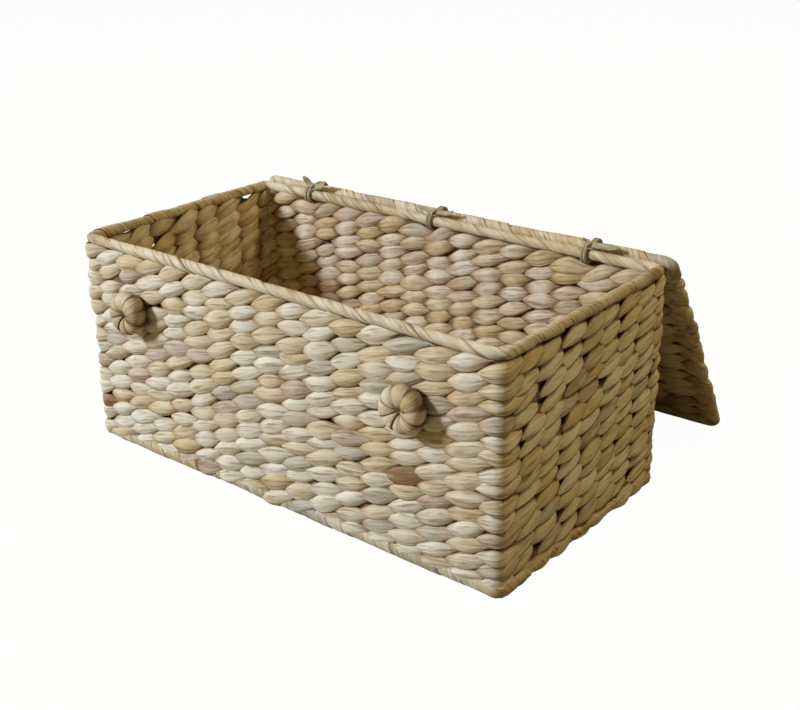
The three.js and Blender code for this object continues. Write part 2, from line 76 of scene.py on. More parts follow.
def joint_place(name):
    """The point that a joint turns about."""
    return Vector(next(joint["pos_m"] for joint in frame["joints"] if joint["name"] == name))


# Places that the frame gives
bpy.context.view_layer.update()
MID_X = -middle("left_rim_wrap").x
MID_Y = -middle("front_rim_wrap").y
RIM_Z = middle("front_rim_wrap").z
BASE_Z = middle("base_panel").z
BASE_HALF_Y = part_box("base_panel")[1].y
RIM_AXIS = joint_place("tie_swing")
HINGE = joint_place("lid_swing")
LID_EDGE = middle("lid_front_wrap")
LID_END_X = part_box("lid_panel")[1].x
LID_REACH = (LID_EDGE - HINGE).length
HINGE_SPACING = (HINGE - RIM_AXIS).length

# Bends of the wire and of the strands round the corners, and the bays between the stakes
WIRE_CORNER = 6 * MM
STRAND_CORNER = 3.2 * MM
LONG_BAYS = 16
SHORT_BAYS = 8
STAKE_PITCH = 2 * MID_X / LONG_BAYS

# Weave: courses and rows, where they begin and end, and how thin and spread they lie
WALL_COURSES = 14
WALL_LOW = 1.8 * MM
WALL_HIGH = 164.2 * MM
WALL_CLEAR = 0.2 * MM
LID_ROWS = 16
LID_FIRST_EDGE = 4.85 * MM
LID_LAST_EDGE = 189.3 * MM
BASE_ROWS = 17
BASE_END_X = 193.0 * MM
BASE_THIN = 0.5
LID_THIN = 0.88
THIN_SPREAD = 0.8
BANDS = {"low": (0, 5), "middle": (5, 10), "top": (10, 14)}

# Where the ties sit, counted in bays from the left, and where the top course hangs loose of the rim
TIE_BAYS = {"left": 2.3, "middle": 7.7, "right": 13.55}
LOOSE_STAKES = (41.15, 46.55)

# Facets, and how near corners lie that are merged
STRAND_CORNERS = 14
STRAND_STEPS = 12
BEND_STEPS = 10
CORNER_STEPS = 8
WIND_STEPS = 20
STRIP_TOP = 12
STRIP_UNDER = 4
CORD_CORNERS = 8
MERGE_DISTANCE = 1e-6

# Maps along the strands and for the bake, and the margin that the bake's map keeps
STRAND_MAP = "Strand"
BAKE_MAP = "OFBake"
BAKE_EDGE = 0.02

# Seeds of the chance that each group of pieces has
WALL_SEED = 1
BASE_SEED = 2
RIM_SEED = 3
KNOB_SEED = 4
CORD_SEED = 5
LID_SEED = 6
LID_WRAP_SEED = 7
TIE_SEED = 8

# How the numbers of a screen stand for light
SCREEN_WHITE = 255
SCREEN_TOE = 0.04045
SCREEN_TOE_SLOPE = 12.92
SCREEN_LIFT = 0.055
SCREEN_POWER = 2.4
WHITE = (1, 1, 1, 1)


def linear(red, green, blue):
    """A colour as a screen shows it, as the light that it stands for."""
    def channel(value):
        share = value / SCREEN_WHITE
        if share <= SCREEN_TOE:
            return share / SCREEN_TOE_SLOPE
        return ((share + SCREEN_LIFT) / (1 + SCREEN_LIFT)) ** SCREEN_POWER
    return tuple(channel(value) for value in (red, green, blue))


def length_property(name, description, millimetres):
    return FloatProperty(
        name=name,
        description=description,
        default=millimetres * MM,
        min=0,
        subtype="DISTANCE",
        unit="LENGTH",
        precision=5,
    )


def colour_property(name, description, *screen):
    return FloatVectorProperty(
        name=name,
        description=description,
        default=linear(*screen),
        min=0,
        max=1,
        size=3,
        subtype="COLOR",
    )


class WovenBoxSizes(PropertyGroup):
    """Sizes of the strands, strips and twine"""

    strand_width: length_property("Strand width", "Height of a strand where it lies over a stake", 13.6)
    strand_thickness: length_property("Strand thickness", "Thickness of a flattened strand", 6.2)
    wall_relief: length_property(
        "Wall relief", "How far a strand's middle lies from the wall's middle", 1.8
    )
    lid_relief: length_property(
        "Lid relief", "How far a strand's middle lies from the lid's middle", 1.6
    )
    base_relief: length_property(
        "Base relief", "How far a strand's middle lies from the base's middle", 0.7
    )
    strand_rise: length_property("Strand rise", "How far a strand climbs from stake to stake", 6.0)
    rim_diameter: length_property("Rim diameter", "Thickness of the wound rims", 8.8)
    strip_thickness: length_property("Strip thickness", "Thickness of the wound strips", 0.9)
    knob_diameter: length_property("Knob tube", "Thickness of the ring of a knob", 17.2)
    twine_diameter: length_property("Twine diameter", "Thickness of the hinge twine", 2.5)


class WovenBoxColours(PropertyGroup):
    """Colours of the fibres, the twine, the wire and the floor"""

    cream: colour_property("Cream", "Palest strands", 238, 229, 210)
    straw: colour_property("Straw", "Usual strands", 224, 209, 178)
    honey: colour_property("Honey", "Yellower strands", 216, 194, 152)
    sage: colour_property("Sage", "Grey-green strands", 200, 194, 176)
    rose: colour_property("Rose", "Pinkish strands", 210, 188, 170)
    # Darkened bark and ochre also colour the painted shade that the strands carry
    bark: colour_property("Bark", "Brown strands and tips", 150, 117, 82)
    ochre: colour_property("Ochre", "Edges and fibres of the strands", 188, 150, 92)
    twine: colour_property("Twine", "Twine of the hinge", 190, 178, 146)
    wire: colour_property("Wire", "Wire of the frame", 66, 60, 54)
    rust: colour_property("Rust", "Rust on the wire", 96, 62, 38)
    floor: colour_property("Floor", "Floor, as it lights the box", 150, 138, 112)
    fill: colour_property("Fill", "Soft light from all round and the side", 250, 226, 164)
    key: colour_property("Key", "Light of the lamps", 240, 247, 255)


# Lines in a plane, and the places to put them

class Site:
    """A place to build in: a point and three directions, the last one out of the plane."""

    def __init__(self, origin, along, across):
        self.origin = np.array(origin, float)
        along = Vector(along).normalized()
        across = Vector(across).normalized()
        self.axes = np.array([along, across, along.cross(across)], float)

    def world(self, local):
        return self.origin + local @ self.axes


class Way:
    """A line in a plane, measured along its length, with the direction that faces out of it."""

    def __init__(self, points, closed):
        points = np.asarray(points, float)
        self.closed = closed
        self.ends = np.vstack([points, points[:1]]) if closed else points
        steps = np.diff(self.ends, axis=0)
        self.lengths = np.concatenate([[0], np.cumsum(np.hypot(steps[:, 0], steps[:, 1]))])
        self.total = self.lengths[-1]
        if closed:
            ahead = np.roll(points, -1, 0) - np.roll(points, 1, 0)
            ahead = np.vstack([ahead, ahead[:1]])
        else:
            ahead = np.gradient(points, axis=0)
        self.sides = unit(np.stack([ahead[:, 1], -ahead[:, 0]], -1))

    def at(self, length):
        """Points at these lengths, and the directions that face out there."""
        if self.closed:
            length = length % self.total
        else:
            length = np.clip(length, 0, self.total)
        flat = [np.interp(length, self.lengths, self.ends[:, axis]) for axis in (0, 1)]
        side = [np.interp(length, self.lengths, self.sides[:, axis]) for axis in (0, 1)]
        return np.stack(flat, -1), unit(np.stack(side, -1))


def unit(vectors):
    return vectors / np.linalg.norm(vectors, axis=-1, keepdims=True)


def bent_corner(sign_x, sign_y, bend, quarter):
    """A quarter bend, anticlockwise."""
    angle = (quarter + np.linspace(0, 1, CORNER_STEPS + 1)) * TURN / 4
    centre = np.array([sign_x * (MID_X - bend), sign_y * (MID_Y - bend)])
    return centre + bend * np.stack([np.cos(angle), np.sin(angle)], -1)


def box_loop(bend):
    """A loop round the box from the middle of its front left bend, along the front first."""
    signs = [(1, -1, 3), (1, 1, 0), (-1, 1, 1), (-1, -1, 2)]
    bends = [bent_corner(x, y, bend, quarter) for x, y, quarter in signs]
    start = CORNER_STEPS // 2 + 1
    return Way(np.roll(np.vstack(bends), start, 0), closed=True)


def side_lengths(bend):
    """Lengths from bend to bend, front, right, back and left."""
    saved = bend * (2 - TURN / 4)
    return [2 * MID_X - saved, 2 * MID_Y - saved] * 2


def stake_lengths(bend):
    """How far along a loop each stake stands, and the loop's whole length."""
    found = []
    start = 0.0
    for bays, side in zip((LONG_BAYS, SHORT_BAYS) * 2, side_lengths(bend)):
        first = STAKE_PITCH - bend * (1 - TURN / 8)
        found.append(start)
        found.extend(start + first + STAKE_PITCH * bay for bay in range(bays - 1))
        start += side
    return np.array([*found, start])


def stake_x(bay):
    """Where a bay begins, along the box."""
    return bay * STAKE_PITCH - MID_X


def row_stakes(end):
    """Where the cross wires of a row lie along the box, with the wires at its two ends."""
    return [-end, *(stake_x(bay) for bay in range(1, LONG_BAYS)), end]


WIRE_LOOP = box_loop(WIRE_CORNER)
STRAND_LOOP = box_loop(STRAND_CORNER)
STAKES = stake_lengths(STRAND_CORNER)
STAKE_COUNT = len(STAKES) - 1
BOX_SITE = Site((0, 0, 0), (1, 0, 0), (0, 1, 0))
LID_SITE = Site(HINGE, (1, 0, 0), LID_EDGE - HINGE)


# Chance: every strand has its own seed, so each run gives the same weave

def seeded(*numbers):
    return np.random.default_rng(numbers)


def smooth_step(value, low, high):
    share = np.clip((value - low) / (high - low), 0, 1)
    return share * share * (3 - 2 * share)


def by_turn(values, place, sharp):
    """A value for each turn of a strip, blended from this share of the way to the next turn."""
    count = len(values)
    near = np.floor(place + 0.5).astype(int)
    offset = place - near
    share = 0.5 * smooth_step(np.abs(offset), sharp, 0.5)
    other = near + np.where(offset < 0, -1, 1)
    return values[near % count] * (1 - share) + values[other % count] * share


# Tones along the fibre colours, how often each comes, and how many segments one stalk lasts
TONES = np.array([0.10, 0.30, 0.48, 0.66, 0.82, 0.97])
TONE_SHARES = np.array([0.40, 0.38, 0.08, 0.09, 0.05, 0.0])
STALK_SEGMENTS = 9
STALK_KEPT = 0.5
TONE_SPREAD = 0.06


def segment_tones(rng, count):
    """Tones of a strand's segments: stalks run for several segments, with odd ones among them."""
    stalks = rng.choice(TONES, size=count // STALK_SEGMENTS + 2, p=TONE_SHARES)
    run = np.repeat(stalks, STALK_SEGMENTS)[rng.integers(STALK_SEGMENTS):][:count]
    odd = rng.choice(TONES, size=count, p=TONE_SHARES)
    kept = rng.random(count) < STALK_KEPT
    return np.where(kept, run, odd) + rng.normal(0, TONE_SPREAD, count)


# Strands as meshes

@dataclass
class Strand:
    """Rings of corners along a strand, with what its material reads."""

    rings: np.ndarray
    closed: bool
    run: np.ndarray
    tone: np.ndarray
    tip: np.ndarray


SECTION_SHARP = 0.72


def section_angles(corners):
    return (np.arange(corners) + 0.5) / corners * TURN


def lens(angle):
    """Height of a flattened strand's section, sharper than round at its edges."""
    return np.sin(angle) * (SECTION_SHARP + (1 - SECTION_SHARP) * np.abs(np.sin(angle)))


def cord_rings(local, outward, half_width, half_depth, closed):
    """Sections square to a cord: wide across it, and deep along outward."""
    if closed:
        ahead = unit(np.roll(local, -1, 0) - np.roll(local, 1, 0))
    else:
        ahead = unit(np.gradient(local, axis=0))
    across = unit(np.cross(ahead, outward))
    lift = np.cross(across, ahead)
    angle = section_angles(CORD_CORNERS)
    wide = np.cos(angle) * half_width[:, None]
    deep = lens(angle) * half_depth[:, None]
    return local[:, None] + across[:, None] * wide[..., None] + lift[:, None] * deep[..., None]


def run_of(points, closed):
    """How far along a line each of its points is, in metres."""
    steps = np.linalg.norm(np.diff(points, axis=0), axis=1)
    run = np.concatenate([[0], np.cumsum(steps)])
    if closed:
        run = np.append(run, run[-1] + np.linalg.norm(points[0] - points[-1]))
    return run


# Leaves: the lengths of a strand that show on one face, each over one stake, in stakes and shares
LEAF_REACH = 0.86
LEAF_POWER = 1.5
LEAF_DOME_POWER = 0.6
LEAF_DROP = 3.3 * MM
LEAF_TILT = 1.7 * MM
LEAF_SINK = 0.8 * MM
LEAF_TIP = 0.4 * MM
FADE_START = 0.76
CREASES = (2, 3, 4)

# How brown a strand is at the tips of its leaves and along its edges, and how much painted shade darkens
# its face on the inside of the box
TIP_BROWN_LEAST = 0.3
EDGE_BROWN = 0.9
EDGE_BROWN_POWER = 12
INNER_PAINTED_SHADE = 0.3

# Tongues: leaves of the short walls, with a blunt end on top and a pointed end tucked under
TONGUE_FRONT = 0.74
TONGUE_FRONT_ROUND = 2.0
TONGUE_FRONT_POWER = 0.8
TONGUE_BACK = 0.56
TONGUE_BACK_POWER = 1.7
TONGUE_WIDTH = 0.87
TONGUE_RISE = 0.7
TONGUE_LOW = 1.0
TONGUE_TILT = -1.3
TONGUE_DROP = 0.35
TONGUE_DEPTH = 0.3
TONGUE_LEAN = 2.4 * MM
TONGUE_SLIP = 0.16
TONGUE_SLIP_LIMIT = 1.5
TONGUE_TIP = 0.3 * MM
TONGUE_SINK = 0.6 * MM
TONGUE_DIVE = 5.0 * MM
TONGUE_DIVE_WIDTH = 0.1
# Painted shade where a tongue has thinned to nothing and shows in the gap between tongues: how dark, and
# over which fullness it fades; then how brown a tongue's tips are
TONGUE_GAP_SHADE = 1.2
TONGUE_GAP_SPAN = (0.02, 0.22)
TONGUE_TIP_BROWN = 0.5
# Painted shade on a tongue's upper edge, where the course above overhangs it: how dark, and how narrow a
# band it takes
TONGUE_PAINTED_SHADE = 1.2
TONGUE_PAINTED_SHADE_POWER = 2.2

# The inner leaves behind the tongues are wider, and blunt at their tips, to close the wall
INNER_SPREAD = 0.14
SPREAD_TIP = 9.0 * MM

# Tongues stay clear of the stake under them, which is round, so less so away from its middle
STAKE_CLEAR = 2.2 * MM
STAKE_FALL = 24 * MM
STAKE_FREE = 20 * MM

# How uneven the leaves are
REACH_SPREAD = 0.08
WIDTH_SPREAD = 0.09
WIDTH_LEAST = 0.93
RISE_SPREAD = 0.22
SHIFT_SPREAD = 0.7 * MM
BOW_SPREAD = 0.7 * MM
BULGE_SPREAD = 0.7 * MM
BULGE_LIMIT = 1.1 * MM
CREASE_SPREAD = 0.09


def on_tongues(share, tongue):
    """1 on plain leaves, and this share on tongues."""
    return 1 + (share - 1) * tongue


def tongue_plump(offset):
    """How full a tongue is along its length: blunt and round in front, drawn to a point behind."""
    front = np.clip(1 - np.clip(offset / TONGUE_FRONT, 0, 1) ** TONGUE_FRONT_ROUND, 0, 1)
    back = np.clip(1 - (offset / TONGUE_BACK) ** 2, 0, 1)
    return np.where(offset > 0, front ** TONGUE_FRONT_POWER, back ** TONGUE_BACK_POWER)


class Leaves:
    """The leaves of a strand on one face: plump in the middle, slanting, tucked under at both tips.

    Where tongue is 1 the leaves are tongues instead, and thin is their share of the full thickness.
    """

    def __init__(self, sizes, relief, offset, index, rng, sign, tongue=0.0, thin=1.0, spread=0.0):
        count = index.max() + 1
        reach = LEAF_REACH * rng.normal(1, REACH_SPREAD, count)[index]
        wide = np.maximum(rng.normal(1, WIDTH_SPREAD, count), WIDTH_LEAST)[index]
        width = sizes.strand_width / 2 * wide
        width = width * on_tongues(TONGUE_WIDTH, tongue) * (1 + THIN_SPREAD * (1 - thin) + spread)
        rise = sizes.strand_rise * rng.normal(1, RISE_SPREAD, count)[index]
        rise = rise * on_tongues(TONGUE_RISE, tongue)
        shift = rng.normal(0, SHIFT_SPREAD, count)[index]
        bow = rng.normal(0, BOW_SPREAD, count)[index]
        bulge = np.clip(rng.normal(0, BULGE_SPREAD, count), -BULGE_LIMIT, BULGE_LIMIT)[index]
        pointed = np.clip(1 - (offset / reach) ** 2, 0, 1) ** LEAF_POWER
        slip = np.clip(rng.normal(0, 1, count), -TONGUE_SLIP_LIMIT, TONGUE_SLIP_LIMIT)[index]
        slid = offset - TONGUE_SLIP * slip
        plump = pointed + (tongue_plump(slid) - pointed) * tongue
        hidden = smooth_step(np.abs(offset), FADE_START, 1)
        tilt = on_tongues(TONGUE_TILT, tongue)
        drop = LEAF_DROP * on_tongues(TONGUE_DROP, tongue)
        sunk = drop * (offset / reach) ** 2 + sign * tilt * LEAF_TILT * offset
        dive = smooth_step(slid, TONGUE_FRONT - TONGUE_DIVE_WIDTH, TONGUE_FRONT + TONGUE_DIVE_WIDTH)
        sunk = sunk + tongue * TONGUE_DIVE * dive
        self.half_width = width * plump + LEAF_TIP + TONGUE_TIP * tongue + SPREAD_TIP * spread
        low = tongue * np.where(slid < 0, TONGUE_LOW, 0) * width * (1 - plump)
        self.up = sign * (rise * offset + shift + bow * plump - low) * (1 - hidden)
        deepest = -LEAF_SINK - TONGUE_SINK * tongue
        self.out = np.maximum(relief + thin * bulge * plump - sunk * thin, deepest)
        deep = thin * on_tongues(TONGUE_DEPTH, tongue)
        self.depth = deep * sizes.strand_thickness / 2 * plump ** LEAF_DOME_POWER
        self.tone = segment_tones(rng, count)[index]
        # Painted shade where the tongue has thinned to nothing, deep in the gaps between tongues
        gap_shade = 1 - smooth_step(plump, *TONGUE_GAP_SPAN)
        brown = rng.uniform(TIP_BROWN_LEAST, 1, count)[index] * on_tongues(TONGUE_TIP_BROWN, tongue)
        self.tip = (1 - plump) * brown + tongue * TONGUE_GAP_SHADE * gap_shade
        self.lean = tongue * TONGUE_LEAN * plump
        # Painted shade on the upper edges of tongues, under the course above
        self.painted_shade = TONGUE_PAINTED_SHADE * tongue * np.ones_like(plump)
        self.least = STAKE_CLEAR - STAKE_FALL * offset ** 2 - STAKE_FREE * (1 - tongue)
        self.fold = rng.normal(0, CREASE_SPREAD, (len(CREASES), 2, count))[:, :, index]

    def section(self, angle):
        """How far up and how far out each corner of a half section lies."""
        up = self.up[:, None] + self.half_width[:, None] * np.cos(angle)
        ridge = np.ones_like(up)
        for crease, (even, odd) in zip(CREASES, self.fold):
            ridge += even[:, None] * np.cos(crease * angle) + odd[:, None] * np.sin(crease * angle)
        dome = self.depth[:, None] * np.abs(lens(angle)) * ridge
        out = self.out[:, None] + dome - self.lean[:, None] * np.cos(angle)
        return up, np.maximum(out, self.least[:, None])


def twined(front, back):
    """Up, out, tone, and brown and painted shade, for each corner of a strand that shows on a front and a
    back face.
    """
    angle = section_angles(STRAND_CORNERS)
    half = STRAND_CORNERS // 2
    up_front, out_front = front.section(angle[:half])
    up_back, out_back = back.section(angle[half:])
    tone = np.repeat(np.column_stack([front.tone, back.tone]), half, axis=1)
    tip = np.repeat(np.column_stack([front.tip, back.tip]), half, axis=1)
    tip = tip + EDGE_BROWN * np.abs(np.cos(angle)) ** EDGE_BROWN_POWER
    # Painted shade on the upper edge of each tongue, under the course above
    painted_top_shade = np.clip(np.cos(angle[:half]), 0, 1) ** TONGUE_PAINTED_SHADE_POWER
    tip[:, :half] += front.painted_shade[:, None] * painted_top_shade
    return np.hstack([up_front, up_back]), np.hstack([out_front, -out_back]), tone, tip


def leaf_places(place, first):
    """How far each place is from the middle of its leaf, in stakes, and which leaf that is."""
    index = np.floor((place - first + 1) / 2).astype(int)
    return place - first - 2 * index, index


def hump(place, centre, width):
    """1 at the centre, and away to nothing on both sides."""
    return np.exp(-((place - centre) / width) ** 2)


CORNER_BLEND = 0.4


def short_side(place):
    """1 on the right and left walls, 0 on the front and back, blended at the corners."""
    half = LONG_BAYS + SHORT_BAYS
    within = np.abs(place % half - LONG_BAYS - SHORT_BAYS / 2)
    return 1 - smooth_step(within, SHORT_BAYS / 2 - CORNER_BLEND, SHORT_BAYS / 2 + CORNER_BLEND)


# How far the top course hangs lower under the ties, where it is loose, and on the short walls
TIE_DIP = 4.4 * MM
TIE_DIP_WIDTH = 0.42
LOOSE_DIP = 3.2 * MM
LOOSE_WIDTH = 0.34
SHORT_DIP = -0.8 * MM


def top_dip(place):
    """How far the top course hangs below its height, all round the box."""
    back_left = 2 * LONG_BAYS + SHORT_BAYS
    dip = SHORT_DIP * short_side(place)
    for bay in TIE_BAYS.values():
        dip += TIE_DIP * hump(place, back_left - bay, TIE_DIP_WIDTH)
    for stake in LOOSE_STAKES:
        dip += LOOSE_DIP * hump(place, stake, LOOSE_WIDTH)
    return dip


def wall_strand(sizes, course, ply):
    """One of the two strands of a course, unbroken round the box."""
    rng = seeded(WALL_SEED, course, ply)
    place = np.arange(STAKE_COUNT * STRAND_STEPS) / STRAND_STEPS
    sides = []
    short = short_side(place)
    for first, sign, tongue, spread in ((ply, 1, short, 0), (1 - ply, -1, 0, INNER_SPREAD * short)):
        offset, index = leaf_places(place, first)
        index = index % (STAKE_COUNT // 2)
        sides.append(Leaves(sizes, sizes.wall_relief, offset, index, rng, sign, tongue, spread=spread))
    up, out, tone, tip = twined(*sides)
    # The inner face of each wall strand gets painted shade, for the shade inside the box
    tip[:, STRAND_CORNERS // 2:] += INNER_PAINTED_SHADE
    flat, side = STRAND_LOOP.at(np.interp(place, np.arange(STAKE_COUNT + 1), STAKES))
    pitch = (WALL_HIGH - WALL_LOW) / WALL_COURSES
    height = WALL_LOW + (course + 0.5) * pitch + up
    if course == WALL_COURSES - 1:
        height = height - top_dip(place)[:, None]
    height = np.maximum(height, WALL_CLEAR)
    flat = flat[:, None] + side[:, None] * out[..., None]
    rings = BOX_SITE.world(np.concatenate([flat, height[..., None]], -1))
    return Strand(rings, True, run_of(rings.mean(1), True), tone, tip)


def row_strand(sizes, site, across, stakes, relief, thin, yields, seed):
    """Both strands of a row in one: out along the row, round the end wire, and back."""
    rng = seeded(*seed)
    bays = len(stakes) - 1
    out_run = np.arange(bays * STRAND_STEPS) / STRAND_STEPS
    bend = np.arange(BEND_STEPS) / BEND_STEPS
    right = TURN / 4 - bend * TURN / 2
    left = right - TURN / 2
    count = np.arange(bays + 1)
    level = np.zeros(len(out_run))
    end = np.ones(BEND_STEPS)
    x = np.concatenate([
        np.interp(out_run, count, stakes),
        stakes[-1] * end,
        np.interp(bays - out_run, count, stakes),
        stakes[0] * end,
    ])
    lift_x = np.concatenate([level, np.cos(right), level, np.cos(left)])
    lift_z = np.concatenate([level + 1, np.sin(right), level - 1, np.sin(left)])
    sides = []
    for first, at_end, sign in ((0, 0, 1), (1, 1, -1)):
        offset, index = leaf_places(out_run, first)
        leaves = index.max() - index.min() + 1
        index = index - index.min()
        offsets = np.concatenate([offset, at_end * end, offset, at_end * end])
        last = np.full(BEND_STEPS, index[-1])
        indices = np.concatenate([index, last, index + leaves, last + leaves])
        sides.append(Leaves(sizes, relief, offsets, indices, rng, sign, thin=thin))
    up, out, tone, tip = twined(*sides)
    y = across + up
    for at, width, amount in yields:
        y = y + amount * hump(x, at, width)[:, None]
    local = np.stack([x[:, None] + lift_x[:, None] * out, y, lift_z[:, None] * out], -1)
    rings = site.world(local)
    return Strand(rings, True, run_of(rings.mean(1), True), tone, tip)


# How the turns of a strip lap, and how sharply its width and its tone change from turn to turn
LAP_HALF = 0.66
LAP_SPREAD = 0.1
LAP_SHARP = 0.3
TONE_SHARP = 0.42
UNEVEN_PER_TURN = 2
WORN_PER_TURN = 3
SETTLE_PHASE = math.radians(230)


@dataclass
class Winding:
    """A strip wound on a wire: how far it reaches out and up, how square it lies, and how unevenly."""

    out: float
    up: float
    thickness: float
    square: float = 2.0
    crown: float = 0.3 * MM
    uneven: float = 0.45 * MM
    lap: float = 0.6 * MM
    settle: float = 0.0
    edge: float = 8
    browning: float = 0.0
    hand: int = 1
    painted_shade: float = 0.0

    def reach(self, angle):
        across = np.abs(np.cos(angle) / self.out) ** self.square
        above = np.abs(np.sin(angle) / self.up) ** self.square
        return (across + above) ** (-1 / self.square)


def wound_strand(site, way, height, turns, winding, seed, marks=None):
    """A strip wound along a way, each turn lapped over the one before it.

    Marks are counts of turns and the lengths where they are reached. Without them the turns are even.
    """
    rng = seeded(*seed)
    closed = way.closed
    if marks is None:
        marks = ([0, turns], [0, way.total])
    count = turns * WIND_STEPS + (0 if closed else 1)
    turned = np.arange(count) / WIND_STEPS
    edge = np.concatenate([np.linspace(-1, 1, STRIP_TOP), np.linspace(1, -1, STRIP_UNDER)])
    under = np.arange(len(edge)) >= STRIP_TOP
    half = LAP_HALF * by_turn(rng.normal(1, LAP_SPREAD, turns), turned, LAP_SHARP)
    settled = turned + winding.settle * np.sin(TURN * turned + SETTLE_PHASE) / TURN
    place = settled[:, None] + edge * half[:, None]
    rounds = np.floor(place / turns) if closed else np.zeros_like(place)
    length = np.interp(place - rounds * turns, *marks) + rounds * way.total
    flat, side = way.at(length)
    shape = winding.lap * (edge - 1) / 2 - winding.crown * edge ** 2
    shape = shape - np.where(under, winding.thickness, 0)
    bumps = rng.normal(0, winding.uneven, UNEVEN_PER_TURN * turns)
    uneven = by_turn(bumps, UNEVEN_PER_TURN * turned, 0)
    angle = -winding.hand * TURN * turned[:, None]
    reach = winding.reach(angle) + shape + uneven[:, None]
    if not closed:
        reach = reach - winding.lap * np.clip(1 - np.minimum(turned, turns - turned), 0, 1)[:, None]
    flat = flat + side * (reach * np.cos(angle))[..., None]
    local = np.concatenate([flat, (height + reach * np.sin(angle))[..., None]], -1)
    tone = by_turn(segment_tones(rng, turns), turned, TONE_SHARP)
    marred = rng.uniform(winding.browning, 1, WORN_PER_TURN * turns)
    browning = by_turn(marred, WORN_PER_TURN * turned, 0)
    # The shade term makes each turn pale at its front and darker towards its back: partly wear where
    # hands rub the front, partly painted shade
    tip = np.abs(edge)[None, :] ** winding.edge * browning[:, None] + winding.painted_shade * (1 - np.sin(angle)) / 2
    return Strand(site.world(local), closed, run_of(local[:, 0], closed), tone, tip)


def strand_grid(strand, row, rows):
    """A grid bent round a strand's rings, with one map along the strand and one to bake on."""
    rings = strand.rings
    tone = np.broadcast_to(np.reshape(strand.tone, (len(rings), -1)), rings.shape[:2])
    tip = np.broadcast_to(np.reshape(strand.tip, (len(rings), -1)), rings.shape[:2])
    run = strand.run
    steps = np.arange(len(rings))
    if strand.closed:
        steps = np.append(steps, 0)
    else:
        ends = np.broadcast_to(rings[[0, -1]].mean(1, keepdims=True), (2, *rings.shape[1:]))
        rings = np.concatenate([ends[:1], rings, ends[1:]])
        steps = np.arange(len(rings))
        tone, tip = (np.concatenate([mark[:1], mark, mark[-1:]]) for mark in (tone, tip))
        run = np.concatenate([run[:1], run, run[-1:]])
    corners = np.append(np.arange(rings.shape[1]), 0)
    bpy.ops.object.select_all(action="DESELECT")
    bpy.ops.mesh.primitive_grid_add(
        x_subdivisions=len(steps) - 1,
        y_subdivisions=len(corners) - 1,
        size=1,
        calc_uvs=False,
    )
    piece = bpy.context.object
    mesh = piece.data
    order = np.ix_(steps, corners)
    mesh.vertices.foreach_set("co", rings[order].transpose(1, 0, 2).astype(np.float32).ravel())
    for name, mark in (("tone", tone), ("tip", tip)):
        layer = mesh.attributes.new(name, "FLOAT", "POINT")
        layer.data.foreach_set("value", mark[order].T.astype(np.float32).ravel())
    vertex = np.empty(len(mesh.loops), np.int32)
    mesh.loops.foreach_get("vertex_index", vertex)
    step = vertex % len(steps)
    share = vertex // len(steps) / (len(corners) - 1)
    along = run[step] + row
    kept = BAKE_EDGE + (1 - 2 * BAKE_EDGE) * np.stack([step / (len(steps) - 1), share])
    for name, u, v in ((STRAND_MAP, along, share), (BAKE_MAP, kept[0], (row + kept[1]) / rows)):
        layer = mesh.uv_layers.new(name=name)
        layer.uv.foreach_set("vector", np.stack([u, v], -1).astype(np.float32).ravel())
    return piece


def finish_piece(name, strands, material, body, replaced):
    """Joins strands into one piece, closes their seams, and hangs it on its body."""
    grids = [strand_grid(strand, row, len(strands)) for row, strand in enumerate(strands)]
    bpy.ops.object.select_all(action="DESELECT")
    for grid in grids:
        grid.select_set(True)
    bpy.context.view_layer.objects.active = grids[0]
    if len(grids) > 1:
        bpy.ops.object.join()
    piece = bpy.context.object
    bpy.ops.object.mode_set(mode="EDIT")
    bpy.ops.mesh.select_all(action="SELECT")
    bpy.ops.mesh.remove_doubles(threshold=MERGE_DISTANCE)
    bpy.ops.mesh.normals_make_consistent(inside=False)
    bpy.ops.object.mode_set(mode="OBJECT")
    bpy.ops.object.transform_apply(location=True, rotation=True, scale=True)
    bpy.ops.object.shade_smooth()
    piece.name = name
    piece.data.name = name
    piece.data.materials.clear()
    piece.data.materials.append(material)
    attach(piece, body)
    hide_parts(*replaced)


# Materials

NOISE_ROUGH = 0.5
NOISE_MIDDLE = 0.5

# Sockets of a Mix node that mixes colours
MIX_SHARE = 0
MIX_ONE = 6
MIX_OTHER = 7
MIX_COLOUR = 2


class Value:
    """A shader socket that plain arithmetic can act on."""

    def __init__(self, shader, socket):
        self.shader = shader
        self.socket = socket

    def maths(self, operation, one, other):
        return self.shader.node("ShaderNodeMath", {"operation": operation}, {0: one, 1: other})

    def __add__(self, other):
        return self.maths("ADD", self, other)

    def __radd__(self, other):
        return self.maths("ADD", other, self)

    def __sub__(self, other):
        return self.maths("SUBTRACT", self, other)

    def __rsub__(self, other):
        return self.maths("SUBTRACT", other, self)

    def __mul__(self, other):
        return self.maths("MULTIPLY", self, other)

    def __rmul__(self, other):
        return self.maths("MULTIPLY", other, self)


